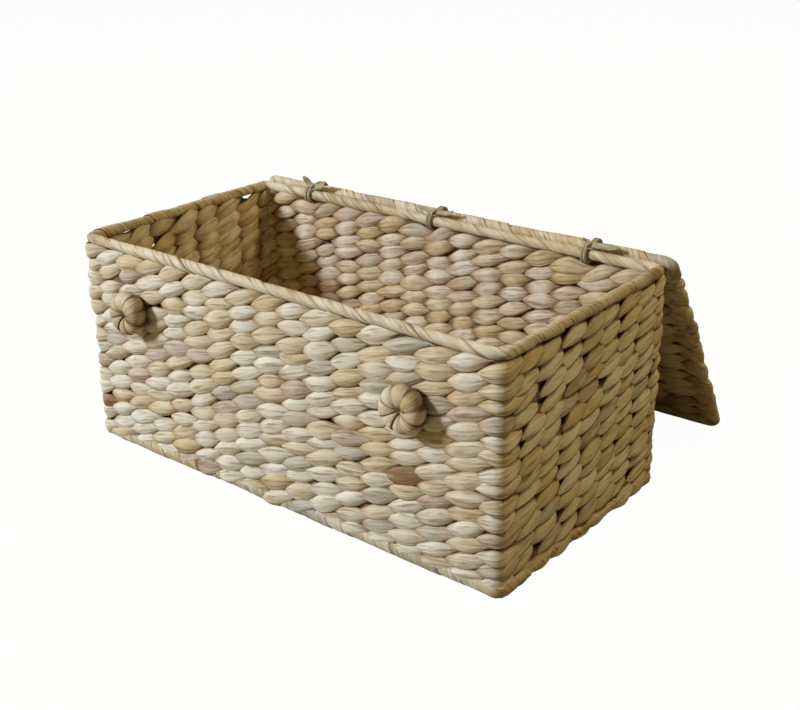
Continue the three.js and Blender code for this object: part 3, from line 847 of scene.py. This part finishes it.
class Shader:
    """The nodes of a material or of the world."""

    def __init__(self, owner):
        self.owner = owner
        owner.use_nodes = True
        self.tree = owner.node_tree
        self.tree.nodes.clear()

    def node(self, kind, settings=None, inputs=None, output=0):
        """Adds a node: its settings first, then its inputs, as values or links."""
        node = self.tree.nodes.new(kind)
        for name, value in (settings or {}).items():
            if name == "stops":
                fill_ramp(node.color_ramp, value)
            else:
                setattr(node, name, value)
        for key, value in (inputs or {}).items():
            if isinstance(value, Value):
                self.tree.links.new(value.socket, node.inputs[key])
            else:
                node.inputs[key].default_value = value
        return Value(self, node.outputs[output])

    def noise(self, vector, scale, detail, rough=NOISE_ROUGH):
        inputs = {"Vector": vector, "Scale": scale, "Detail": detail, "Roughness": rough}
        return self.node("ShaderNodeTexNoise", {}, inputs, "Fac")

    def grain(self, vector, scales, detail, rough=NOISE_ROUGH):
        """Noise with its own scale along a strand and across it."""
        stretched = self.node("ShaderNodeMapping", {}, {"Vector": vector, "Scale": scales})
        return self.noise(stretched, 1, detail, rough)

    def span(self, value, low, high):
        """0 below low, 1 above high, and smooth between."""
        inputs = {"Value": value, "From Min": low, "From Max": high}
        return self.node("ShaderNodeMapRange", {"interpolation_type": "SMOOTHSTEP"}, inputs)

    def mix(self, share, one, other):
        """One colour or the other, by the share."""
        inputs = {MIX_SHARE: share, MIX_ONE: one, MIX_OTHER: other}
        return self.node("ShaderNodeMix", {"data_type": "RGBA"}, inputs, MIX_COLOUR)

    def ramp(self, value, stops):
        return self.node("ShaderNodeValToRGB", {"stops": stops}, {"Fac": value}, "Color")

    def attribute(self, name):
        return self.node("ShaderNodeAttribute", {"attribute_name": name}, {}, "Fac")

    def strand_map(self):
        return self.node("ShaderNodeUVMap", {"uv_map": STRAND_MAP})

    def object_place(self):
        return self.node("ShaderNodeTexCoord", {}, {}, "Object")

    def bump(self, height, distance):
        return self.node("ShaderNodeBump", {}, {"Height": height, "Distance": distance})

    def seen(self):
        """1 on rays from the camera, 0 on all others."""
        return self.node("ShaderNodeLightPath", output="Is Camera Ray")

    def surface(self, **inputs):
        named = {name.replace("_", " "): value for name, value in inputs.items()}
        return self.close(self.node("ShaderNodeBsdfPrincipled", {}, named))

    def close(self, shader, kind="ShaderNodeOutputMaterial"):
        """Links the last shader to the output, and gives the material or the world."""
        output = self.tree.nodes.new(kind)
        self.tree.links.new(shader.socket, output.inputs["Surface"])
        return self.owner


def fill_ramp(ramp, stops):
    """Gives a ramp these stops and no others."""
    while len(ramp.elements) > 1:
        ramp.elements.remove(ramp.elements[-1])
    for index, (position, colour) in enumerate(stops):
        element = ramp.elements[0] if index == 0 else ramp.elements.new(position)
        element.position = position
        element.color = opaque(colour)


def opaque(colour):
    return (*colour, 1.0)


def scaled(colour, share):
    return tuple(channel * share for channel in colour)


def fibre_shades(colours):
    """The tones of a dried strand, from cream to brown."""
    order = (colours.cream, colours.straw, colours.honey, colours.sage, colours.rose, colours.bark)
    return list(zip(TONES, order))


# Fibres of a strand: scales along and across it, then detail and roughness
FINE_FIBRES = ((45, 24, 1), 4, 0.62)
FOLDS = ((34, 14, 1), 2)
BROAD_FIBRES = ((30, 6, 1), 3)
PATCHES = (85, 2)

# How much each of them changes the tone, and where paler lines, streaks and brown begin and end; the
# brown also carries painted shade
BROAD_TONE = 0.4
PATCH_TONE = 0.3
PALE_FOLD = 0.5
PALE_SPAN = (0.48, 0.36)
PALE_SHARE = 0.5
PATCH_WORN = 0.7
OCHRE_SPAN = (0.1, 0.6)
OCHRE_SHARE = 0.55
STREAK_FOLD = 0.45
STREAK_SPAN = (0.5, 0.62)
BARK_SPAN = (0.45, 0.95)
DARKER = 0.5
FINE_RELIEF = 0.4
FOLD_RELIEF = 0.5
BROAD_RELIEF = 0.5
FIBRE_RELIEF = 1.6 * MM
FIBRE_SPECULAR = 0.3


def fibre_material(name, colours, bark_share, tint=(1, 1, 1), streaks=0.6, rough=0.62, uneven=0.34):
    """Dried, flattened plant strand: lengthwise fibres, uneven tone, browned tips and edges, and painted
    shade where the piece marks it.
    """
    shader = Shader(bpy.data.materials.new(name))
    strand = shader.strand_map()
    fine = shader.grain(strand, *FINE_FIBRES)
    fold = shader.grain(strand, *FOLDS)
    broad = shader.grain(strand, *BROAD_FIBRES)
    patch = shader.noise(shader.object_place(), *PATCHES)
    tone = shader.attribute("tone") + (broad - NOISE_MIDDLE) * BROAD_TONE
    tone = tone + (patch - NOISE_MIDDLE) * PATCH_TONE
    shades = [(place, [a * b for a, b in zip(colour, tint)]) for place, colour in fibre_shades(colours)]
    colour = shader.ramp(tone, shades)
    pale = shader.span(fold * PALE_FOLD + fine * (1 - PALE_FOLD), *PALE_SPAN) * PALE_SHARE
    colour = shader.mix(pale, colour, opaque(colours.cream))
    # Brown at the tips and edges, with painted shade where the piece marks it
    browning = shader.attribute("tip") + (patch - NOISE_MIDDLE) * PATCH_WORN
    colour = shader.mix(shader.span(browning, *OCHRE_SPAN) * OCHRE_SHARE, colour, opaque(colours.ochre))
    streak = shader.span(fold * STREAK_FOLD + fine * (1 - STREAK_FOLD), *STREAK_SPAN) * streaks
    colour = shader.mix(streak, colour, opaque(scaled(colours.ochre, DARKER)))
    tip = shader.span(browning, *BARK_SPAN) * bark_share
    colour = shader.mix(tip, colour, opaque(scaled(colours.bark, DARKER)))
    height = fine * FINE_RELIEF + fold * FOLD_RELIEF + broad * BROAD_RELIEF
    return shader.surface(
        Base_Color=colour,
        Roughness=rough + (fine - NOISE_MIDDLE) * uneven,
        Specular_IOR_Level=FIBRE_SPECULAR,
        Normal=shader.bump(height, FIBRE_RELIEF),
    )


# Twine: its fibres and patches, how dark it is between the fibres, and where it pales
TWINE_FIBRES = ((120, 14, 1), 3, 0.6)
TWINE_PATCHES = (260, 2)
TWINE_DARKER = 0.62
TWINE_SPAN = (0.35, 0.7)
TWINE_PALE_SPAN = (0.52, 0.75)
TWINE_PALE_SHARE = 0.6
TWINE_ROUGH = 0.78
TWINE_ROUGH_SPREAD = 0.2
TWINE_RELIEF = 0.25 * MM


def twine_material(name, colours):
    """Grey-olive twisted twine with stray lighter fibres."""
    shader = Shader(bpy.data.materials.new(name))
    fine = shader.grain(shader.strand_map(), *TWINE_FIBRES)
    patch = shader.noise(shader.object_place(), *TWINE_PATCHES)
    dark = scaled(colours.twine, TWINE_DARKER)
    colour = shader.mix(shader.span(fine, *TWINE_SPAN), opaque(dark), opaque(colours.twine))
    pale = shader.span(patch, *TWINE_PALE_SPAN) * TWINE_PALE_SHARE
    return shader.surface(
        Base_Color=shader.mix(pale, colour, opaque(colours.sage)),
        Roughness=TWINE_ROUGH + (fine - NOISE_MIDDLE) * TWINE_ROUGH_SPREAD,
        Normal=shader.bump(fine, TWINE_RELIEF),
    )


# Wire: patches and specks of rust, where the rust begins and ends, and how dull and rough both are
RUST_PATCHES = (160, 4, 0.6)
RUST_SPECKS = (900, 2)
SPECK_SHARE = 0.4
RUST_SPAN = (0.5, 0.66)
WIRE_METAL = 0.3
WIRE_ROUGH = 0.7
RUST_ROUGH = 0.2
SPECK_RELIEF = 0.1 * MM


def wire_material(name, colours):
    """Dark drawn wire with rust in patches."""
    shader = Shader(bpy.data.materials.new(name))
    place = shader.object_place()
    patch = shader.noise(place, *RUST_PATCHES)
    speck = shader.noise(place, *RUST_SPECKS)
    rust = shader.span(patch + (speck - NOISE_MIDDLE) * SPECK_SHARE, *RUST_SPAN)
    return shader.surface(
        Base_Color=shader.mix(rust, opaque(colours.wire), opaque(colours.rust)),
        Metallic=WIRE_METAL - rust * WIRE_METAL,
        Roughness=WIRE_ROUGH + rust * RUST_ROUGH,
        Normal=shader.bump(speck, SPECK_RELIEF),
    )


# What sets the strands, the wound strips and the knobs apart
STRAND_FINISH = {"bark_share": 0.9}
STRIP_FINISH = {"bark_share": 0.9, "tint": (0.82, 0.78, 0.7), "streaks": 0.7}
KNOB_FINISH = {"bark_share": 1.0, "tint": (1.0, 0.92, 0.8), "rough": 0.42, "uneven": 0.6}


def shared_material(name, make, colours, **finish):
    """Makes a material the first time that it is asked for."""
    return bpy.data.materials.get(name) or make(name, colours, **finish)


def strand_material(colours):
    return shared_material("twined_strand", fibre_material, colours, **STRAND_FINISH)


def strip_material(colours):
    return shared_material("rim_fibre", fibre_material, colours, **STRIP_FINISH)


# Operators

class BoxOperator:
    """What all the operators share."""

    bl_options = {"REGISTER", "UNDO"}

    def execute(self, context):
        self.make(context.scene.woven_box_sizes, context.scene.woven_box_colours)
        return {"FINISHED"}


class WOVENBOX_OT_walls(BoxOperator, Operator):
    """Twine the courses of the four walls round the stakes"""

    bl_idname = "woven_box.walls"
    bl_label = "Walls"

    def make(self, sizes, colours):
        walls = on_each_side("wall")
        for band, (first, last) in BANDS.items():
            strands = [wall_strand(sizes, course, ply) for course in range(first, last) for ply in (0, 1)]
            name = f"wall_courses_{band}"
            finish_piece(name, strands, strand_material(colours), "box", walls)


class WOVENBOX_OT_base(BoxOperator, Operator):
    """Weave the rows of the base on its cross wires"""

    bl_idname = "woven_box.base"
    bl_label = "Base"

    def make(self, sizes, colours):
        site = Site((0, 0, BASE_Z), (1, 0, 0), (0, 1, 0))
        end = BASE_END_X - sizes.base_relief - sizes.strand_thickness / 2
        stakes = row_stakes(end)
        pitch = 2 * BASE_HALF_Y / BASE_ROWS
        strands = []
        for row in range(BASE_ROWS):
            across = (row + 0.5) * pitch - BASE_HALF_Y
            seed = (BASE_SEED, row)
            strand = row_strand(sizes, site, across, stakes, sizes.base_relief, BASE_THIN, [], seed)
            strands.append(strand)
        finish = strand_material(colours)
        finish_piece("base_weave", strands, finish, "box", ["base_panel"])


# Turns of the strips, and the squarish section of the bottom strip
LONG_RIM_TURNS = 9
SHORT_RIM_TURNS = 12
BINDING_TURNS = 60
BINDING_OUT = 4.5 * MM
BINDING_LIFT = 0.35 * MM
BINDING_SQUARE = 3.2


class WOVENBOX_OT_rims(BoxOperator, Operator):
    """Wind the strips on the box's top wire and bottom wire"""

    bl_idname = "woven_box.rims"
    bl_label = "Rims"

    def make(self, sizes, colours):
        turns = np.cumsum([0, *(LONG_RIM_TURNS, SHORT_RIM_TURNS) * 2])
        marks = (turns, np.cumsum([0, *side_lengths(WIRE_CORNER)]))
        radius = sizes.rim_diameter / 2
        winding = Winding(radius, radius, sizes.strip_thickness)
        seed = (RIM_SEED, 0)
        rim = wound_strand(BOX_SITE, WIRE_LOOP, RIM_Z, int(turns[-1]), winding, seed, marks)
        nodes = on_each_side("rim_wrap")
        finish_piece("rim_strip", [rim], strip_material(colours), "box", nodes)
        up = BASE_Z - BINDING_LIFT
        winding = Winding(BINDING_OUT, up, sizes.strip_thickness, square=BINDING_SQUARE)
        seed = (RIM_SEED, 1)
        binding = wound_strand(BOX_SITE, STRAND_LOOP, BASE_Z, BINDING_TURNS, winding, seed)
        nodes = on_each_side("binding")
        finish_piece("bottom_strip", [binding], strip_material(colours), "box", nodes)


# The strip round a knob
KNOB_TURNS = 8
KNOB_RING_STEPS = 72
KNOB_STRIP_SHARE = 1.3
KNOB_WINDING = {
    "square": 2.15,
    "crown": 1.2 * MM,
    "uneven": 0.4 * MM,
    "lap": 1.7 * MM,
    "settle": 0.85,
    "edge": 3,
    "browning": 0.8,
    # Paler at the front and darker at the sides and back: partly wear, partly painted shade
    "painted_shade": 0.95,
}

# The cord of a knob: a knot in the ring, a knot inside the wall, and the stem between them
CORD_KNOT_STEPS = 48
RING_KNOT_SIZE = (3.0 * MM, 3.0 * MM, 0.9 * MM)
RING_KNOT_SET_BACK = 5.5 * MM
RING_KNOT_RADIUS = 1.15 * MM
INSIDE_KNOT_SIZE = (4.3 * MM, 4.3 * MM, 1.1 * MM)
INSIDE_KNOT_SEAT = 2.2 * MM
INSIDE_KNOT_RADIUS = 1.25 * MM
STEM_STEPS = 12
STEM_SET_BACK = 6.0 * MM
STEM_RADIUS = 2.0 * MM

# What knob cords and twine share: how uneven, their tone, and a direction that crosses a flat knot
CORD_SPREAD = 0.05
CORD_TONE = 0.5
CORD_OUTWARD = (0.02, 0.03, 1.0)


def trefoil(steps):
    """A plain overhand knot as a closed line, about one unit across its half."""
    angle = np.arange(steps) / steps * TURN
    x = np.sin(angle) + 2 * np.sin(2 * angle)
    y = np.cos(angle) - 2 * np.cos(2 * angle)
    z = -np.sin(3 * angle)
    return np.stack([x / 3, y / 3, z], -1)


def cord_strand(site, line, radius, seed, closed, outward=CORD_OUTWARD):
    """A round cord along a line in a site."""
    count = len(line)
    half = radius * (1 + CORD_SPREAD * seeded(*seed).normal(size=count))
    rings = cord_rings(line, outward, half, half, closed)
    tone = np.full(count, CORD_TONE)
    return Strand(site.world(rings), closed, run_of(line, closed), tone, np.zeros(count))


class WOVENBOX_OT_knobs(BoxOperator, Operator):
    """Wind the two ring knobs and knot their cords"""

    bl_idname = "woven_box.knobs"
    bl_label = "Knobs"

    def make(self, sizes, colours):
        finish = shared_material("knob_strip", fibre_material, colours, **KNOB_FINISH)
        for number, side in enumerate(("left", "right")):
            core = f"{side}_knob_core"
            tube = sizes.knob_diameter / 2
            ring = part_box(f"{side}_knob_wrap")[1].x - middle(core).x - tube
            angle = np.arange(KNOB_RING_STEPS) / KNOB_RING_STEPS * TURN
            way = Way(ring * np.stack([np.cos(angle), np.sin(angle)], -1), closed=True)
            site = Site(middle(core), (1, 0, 0), (0, 0, 1))
            winding = Winding(tube, tube, sizes.strip_thickness * KNOB_STRIP_SHARE, **KNOB_WINDING)
            wrap = wound_strand(site, way, 0, KNOB_TURNS, winding, (KNOB_SEED, number))
            nodes = [core, f"{side}_knob_wrap"]
            finish_piece(f"{side}_knob_strip", [wrap], finish, "box", nodes)
            self.cord(side, number, site, finish)

    def cord(self, side, number, site, finish):
        """The cord that holds a knob, from its knot in the ring to its knot inside the wall."""
        node = f"{side}_knob_cord"
        low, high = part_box(node)
        front = site.origin[1] - low.y
        seat = site.origin[1] - high.y + INSIDE_KNOT_SEAT
        knot = trefoil(CORD_KNOT_STEPS)
        ring_knot = knot * np.array(RING_KNOT_SIZE) + np.array([0, 0, front - RING_KNOT_SET_BACK])
        inside_knot = knot * np.array(INSIDE_KNOT_SIZE) + np.array([0, 0, seat])
        stem = np.zeros((STEM_STEPS, 3))
        stem[:, 2] = np.linspace(seat, front - STEM_SET_BACK, STEM_STEPS)
        strands = [
            cord_strand(site, ring_knot, RING_KNOT_RADIUS, (CORD_SEED, number, 0), True),
            cord_strand(site, inside_knot, INSIDE_KNOT_RADIUS, (CORD_SEED, number, 1), True),
            cord_strand(site, stem, STEM_RADIUS, (CORD_SEED, number, 2), False, outward=(1, 0, 0)),
        ]
        finish_piece(f"{side}_knob_knot", strands, finish, "box", [node])


# The strips on the lid's long wires
LID_WRAP_TURNS = 18
LID_WRAP_TAIL = 7 * MM
LID_FRONT_PLUMP = 0.7 * MM

# The strands that turn round the lid's end wires
LID_END_TURNS = 8
LID_END_FIRST = 12 * MM
LID_END_LAST = 10 * MM
LID_END_PLUMP = 1.0 * MM
LID_END_WINDING = {
    "crown": 3.6 * MM,
    "lap": 2.2 * MM,
    "uneven": 0.6 * MM,
    "edge": 4,
    "browning": 0.6,
    "hand": -1,
}

# How far the lid's first row gives way to a tie
TIE_YIELD = 3.7 * MM
TIE_YIELD_WIDTH = 9 * MM


class WOVENBOX_OT_lid(BoxOperator, Operator):
    """Weave the lid's rows and wind its hinge wire and its free wire"""

    bl_idname = "woven_box.lid"
    bl_label = "Lid"

    def make(self, sizes, colours):
        end = LID_END_X - sizes.lid_relief - sizes.strand_thickness / 2
        stakes = row_stakes(end)
        pitch = (LID_LAST_EDGE - LID_FIRST_EDGE) / LID_ROWS
        strands = []
        for row in range(LID_ROWS):
            across = LID_FIRST_EDGE + (row + 0.5) * pitch
            yields = []
            if row == 0:
                yields = [(stake_x(bay), TIE_YIELD_WIDTH, TIE_YIELD) for bay in TIE_BAYS.values()]
            seed = (LID_SEED, row)
            strand = row_strand(sizes, LID_SITE, across, stakes, sizes.lid_relief, LID_THIN, yields, seed)
            strands.append(strand)
        for side in (-1, 1):
            strands.append(self.end_wrap(sizes, side, side * end))
        finish_piece("lid_weave", strands, strand_material(colours), "lid", ["lid_panel"])
        radius = sizes.rim_diameter / 2
        self.wrap(sizes, colours, "lid_hinge", 0, 1, end, radius)
        self.wrap(sizes, colours, "lid_front", LID_REACH, -1, end, radius + LID_FRONT_PLUMP)

    def end_wrap(self, sizes, side, x):
        """The strands that turn round an end wire from row to row, as one run of plump turns."""
        points = np.array([[x, LID_END_FIRST], [x, LID_REACH - LID_END_LAST]])
        way = Way(points, closed=False)
        radius = sizes.lid_relief + sizes.strand_thickness / 2 + LID_END_PLUMP
        winding = Winding(radius, radius, sizes.strip_thickness, **LID_END_WINDING)
        return wound_strand(LID_SITE, way, 0, LID_END_TURNS, winding, (LID_SEED, LID_ROWS, side + 1))

    def wrap(self, sizes, colours, name, wire, inward, half_x, radius):
        """A strip wound along one wire and round the bends at its ends."""
        angle = np.linspace(0, TURN / 4, CORNER_STEPS + 1)
        sweep = np.stack([np.sin(angle), 1 - np.cos(angle)], -1) * WIRE_CORNER
        right = np.array([half_x - WIRE_CORNER, wire]) + sweep * [1, inward]
        right = np.vstack([right, right[-1] + [0, inward * LID_WRAP_TAIL]])
        left = right[::-1] * [-1, 1]
        points = np.vstack([left, right])
        if inward < 0:
            points = points[::-1]
        way = Way(points, closed=False)
        winding = Winding(radius, radius, sizes.strip_thickness)
        strip = wound_strand(LID_SITE, way, 0, LID_WRAP_TURNS, winding, (LID_WRAP_SEED, inward + 1))
        nodes = [f"{name}_wrap"]
        finish_piece(f"{name}_strip", [strip], strip_material(colours), "lid", nodes)


# The turns of a tie round both rims
TIE_RIM_RADIUS = 4.5 * MM
TIE_PLAY = 0.35 * MM
TIE_TURNS = 2
TIE_STEPS = 72
TWINE_SPREAD = 0.12
SPREADS_PER_TURN = 4

# The knot of a tie, on top of its turns
KNOT_STEPS = 60
KNOT_SIZE = (3.6 * MM, 2.0 * MM, 1.3 * MM)
KNOT_SHIFT = 1.8 * MM
KNOT_SEAT = 0.9
KNOT_TWINE = 0.95

# A tail of a knot: its taper is shares of its length and of its width there
TAIL_STEPS = 14
TAIL_SWAY = 0.8 * MM
TAIL_DEPTH = 0.8 * MM
TAIL_LEAN = math.radians(35)
TAIL_TAPER = ((0, 0.3, 0.8, 1), (0.7, 1, 1, 0.35))

# The turns of each tie: half of their width and half of their thickness, in millimetres
TIE_BANDS = {"left": (1.9, 0.85), "middle": (1.25, 1.1), "right": (1.2, 1.1)}

# Tails of each knot, in millimetres: how far along, how far up, half the width, and how late they curl
TAILS = {
    "left": ((-8, 8.5, 2.6, 2), (17, 8, 2.8, 4)),
    "middle": ((-16, 2.2, 1.7, 2), (21, 5, 2.0, 5)),
    "right": ((-4, 5, 1.4, 2), (25, 2.0, 2.6, 2)),
}


def oval(length, radius, spacing):
    """Points after these lengths of an oval round two rims, starting under the far rim."""
    cap = math.pi * radius
    whole = 2 * (cap + spacing)
    way = length % whole
    angle = np.where(way < cap + spacing, way, way - spacing) / radius
    flat_top = (way >= cap) & (way < cap + spacing)
    flat_low = way >= 2 * cap + spacing
    centre = np.where(way < cap + spacing, spacing, 0)
    y = centre + radius * np.sin(angle)
    z = -radius * np.cos(angle)
    y = np.where(flat_top, spacing - (way - cap), np.where(flat_low, way - 2 * cap - spacing, y))
    z = np.where(flat_top, radius, np.where(flat_low, -radius, z))
    return y, z


class WOVENBOX_OT_ties(BoxOperator, Operator):
    """Tie the twine of the hinge round both rims"""

    bl_idname = "woven_box.ties"
    bl_label = "Hinge ties"

    def make(self, sizes, colours):
        finish = shared_material("hinge_twine", twine_material, colours)
        twine = sizes.twine_diameter / 2
        radius = TIE_RIM_RADIUS + TIE_PLAY + twine
        for number, (side, bay) in enumerate(TIE_BAYS.items()):
            site = Site((stake_x(bay), RIM_AXIS.y, RIM_AXIS.z), (1, 0, 0), HINGE - RIM_AXIS)
            strands = [self.loops(site, radius, TIE_BANDS[side], number)]
            seat = np.array([0, KNOT_SHIFT, radius + twine * KNOT_SEAT])
            knot = trefoil(KNOT_STEPS) * np.array(KNOT_SIZE) + seat
            strands.append(cord_strand(site, knot, twine * KNOT_TWINE, (TIE_SEED, number, 2), True))
            for reach, rise, width, curl in TAILS[side]:
                strands.append(self.tail(site, seat, reach * MM, rise * MM, width * MM, curl))
            nodes = [f"{side}_hinge_tie"]
            finish_piece(f"{side}_tie_twine", strands, finish, "ties", nodes)

    def loops(self, site, radius, band, number):
        """The turns of twine round both rims, side by side."""
        width, depth = band[0] * MM, band[1] * MM
        whole = 2 * (math.pi * radius + HINGE_SPACING)
        share = np.linspace(0, 1, TIE_TURNS * TIE_STEPS + 1)
        y, z = oval(whole / 2 - KNOT_SHIFT + share * TIE_TURNS * whole, radius, HINGE_SPACING)
        x = (share - 0.5) * TIE_TURNS * 2 * width
        line = np.stack([x, y, z], -1)
        centre = np.stack([x, np.clip(y, 0, HINGE_SPACING), np.zeros_like(z)], -1)
        places = np.linspace(0, 1, SPREADS_PER_TURN * TIE_TURNS)
        spreads = seeded(TIE_SEED, number).normal(1, TWINE_SPREAD, len(places))
        uneven = np.interp(share, places, spreads)
        full = np.ones_like(share)
        rings = cord_rings(line, unit(line - centre), width * uneven, depth * full, False)
        return Strand(site.world(rings), False, run_of(line, False), full * CORD_TONE, full * 0)

    def tail(self, site, seat, reach, rise, width, curl):
        """A flat loose end that leaves the knot along the rim and curls up."""
        share = np.linspace(0, 1, TAIL_STEPS)
        x = reach * share
        z = seat[2] + rise * share ** curl
        y = seat[1] + TAIL_SWAY * np.sin(share * math.pi)
        line = np.stack([x, y, z], -1)
        taper = np.interp(share, *TAIL_TAPER)
        outward = (0, -math.sin(TAIL_LEAN), math.cos(TAIL_LEAN))
        rings = cord_rings(line, outward, width * taper, TAIL_DEPTH * taper, False)
        tone = np.full(TAIL_STEPS, CORD_TONE)
        return Strand(site.world(rings), False, run_of(line, False), tone, share)


class WOVENBOX_OT_wires(BoxOperator, Operator):
    """Give the wire of the box and the lid its finish"""

    bl_idname = "woven_box.wires"
    bl_label = "Wires"

    def make(self, sizes, colours):
        finish = shared_material("frame_wire", wire_material, colours)
        for node in ("box_frame", "lid_frame"):
            wire = frame["nodes"][node]
            for slot in wire.material_slots:
                slot.material = finish


# Camera: focal length, the directions that it looks from, and its place
CAMERA_LENS = 54.69
CAMERA_SENSOR = 36
CAMERA_AZIMUTH = math.radians(39.34)
CAMERA_ELEVATION = math.radians(22.93)
CAMERA_ROLL = math.radians(-0.8)
CAMERA_DISTANCE = 931.4 * MM
CAMERA_RIGHT = 27.9 * MM
CAMERA_TARGET_Z = 86.5 * MM

# The floor, how much of it is plain white to the camera, and how strong the light from all round is
FLOOR_SIZE = 14
FLOOR_GLOW = 0.85
FLOOR_STRENGTH = 1.14
FILL_STRENGTH = 0.13

# Lamps: place, size, power and colour, all aimed at one point
LAMPS = {
    "key_light": ((-1.35, -1.8, 1.45), 0.5, 65, "key"),
    "top_light": ((-0.2, 0.3, 2.4), 1.6, 3, "key"),
    "side_light": ((1.3, 0.8, 2.3), 0.3, 23, "fill"),
}
LAMP_AIM = (0, 0, 0.08)


class WOVENBOX_OT_stage(BoxOperator, Operator):
    """Set the floor, the soft lights and the camera"""

    bl_idname = "woven_box.stage"
    bl_label = "Stage"

    def make(self, sizes, colours):
        self.camera()
        self.floor(colours)
        self.world(colours)
        for name, (place, size, power, colour) in LAMPS.items():
            self.lamp(name, place, size, power, getattr(colours, colour))

    def camera(self):
        flat = math.cos(CAMERA_ELEVATION)
        back = Vector((
            math.sin(CAMERA_AZIMUTH) * flat,
            -math.cos(CAMERA_AZIMUTH) * flat,
            math.sin(CAMERA_ELEVATION),
        ))
        right = Vector((math.cos(CAMERA_AZIMUTH), math.sin(CAMERA_AZIMUTH), 0))
        right.rotate(Quaternion(back, CAMERA_ROLL))
        up = back.cross(right)
        place = back * CAMERA_DISTANCE + right * CAMERA_RIGHT
        place.z += CAMERA_TARGET_Z
        bpy.ops.object.camera_add()
        camera = bpy.context.object
        camera.name = "photo_camera"
        turn = Matrix((right, up, back)).transposed().to_4x4()
        camera.matrix_world = Matrix.Translation(place) @ turn
        camera.data.lens = CAMERA_LENS
        camera.data.sensor_width = CAMERA_SENSOR
        camera.data.dof.use_dof = False
        bpy.context.scene.camera = camera

    def floor(self, colours):
        bpy.ops.object.select_all(action="DESELECT")
        bpy.ops.mesh.primitive_plane_add(size=FLOOR_SIZE)
        floor = bpy.context.object
        floor.name = "floor"
        shader = Shader(bpy.data.materials.new("pale_floor"))
        lit = shader.node("ShaderNodeBsdfDiffuse", {}, {"Color": opaque(colours.floor)})
        white = shader.node("ShaderNodeEmission", {}, {"Color": WHITE, "Strength": FLOOR_STRENGTH})
        glow = shader.seen() * FLOOR_GLOW
        pale = shader.close(shader.node("ShaderNodeMixShader", {}, {0: glow, 1: lit, 2: white}))
        floor.data.materials.append(pale)

    def world(self, colours):
        shader = Shader(bpy.data.worlds.new("studio"))
        soft = {"Color": opaque(colours.fill), "Strength": FILL_STRENGTH}
        fill = shader.node("ShaderNodeBackground", {}, soft)
        white = shader.node("ShaderNodeBackground", {}, {"Color": WHITE})
        sky = shader.node("ShaderNodeMixShader", {}, {0: shader.seen(), 1: fill, 2: white})
        bpy.context.scene.world = shader.close(sky, "ShaderNodeOutputWorld")

    def lamp(self, name, place, size, power, colour):
        bpy.ops.object.light_add(type="AREA", location=place)
        lamp = bpy.context.object
        lamp.name = name
        lamp.data.energy = power
        lamp.data.color = colour
        lamp.data.size = size
        aim = Vector(LAMP_AIM) - Vector(place)
        lamp.rotation_euler = aim.to_track_quat("-Z", "Y").to_euler()


STEPS = (
    WOVENBOX_OT_stage,
    WOVENBOX_OT_wires,
    WOVENBOX_OT_walls,
    WOVENBOX_OT_base,
    WOVENBOX_OT_rims,
    WOVENBOX_OT_knobs,
    WOVENBOX_OT_lid,
    WOVENBOX_OT_ties,
)


class WOVENBOX_PT_panel(Panel):
    """Lists the sizes, the colours and the steps"""

    bl_label = "Woven Box"
    bl_idname = "WOVENBOX_PT_panel"
    bl_space_type = "VIEW_3D"
    bl_region_type = "UI"
    bl_category = "Woven Box"

    def draw(self, context):
        for heading, group in (
            ("Sizes", context.scene.woven_box_sizes),
            ("Colours", context.scene.woven_box_colours),
        ):
            box = self.layout.box()
            box.label(text=heading)
            for name in group.__annotations__:
                box.prop(group, name)
        for step in STEPS:
            self.layout.operator(step.bl_idname)


CLASSES = (WovenBoxSizes, WovenBoxColours, *STEPS, WOVENBOX_PT_panel)


def register():
    for part in CLASSES:
        bpy.utils.register_class(part)
    bpy.types.Scene.woven_box_sizes = PointerProperty(type=WovenBoxSizes)
    bpy.types.Scene.woven_box_colours = PointerProperty(type=WovenBoxColours)


def unregister():
    del bpy.types.Scene.woven_box_colours
    del bpy.types.Scene.woven_box_sizes
    for part in reversed(CLASSES):
        bpy.utils.unregister_class(part)


def main():
    register()
    bpy.context.scene.view_settings.view_transform = "Standard"
    for step in STEPS:
        group, name = step.bl_idname.split(".")
        getattr(getattr(bpy.ops, group), name)()


if __name__ == "__main__":
    main()
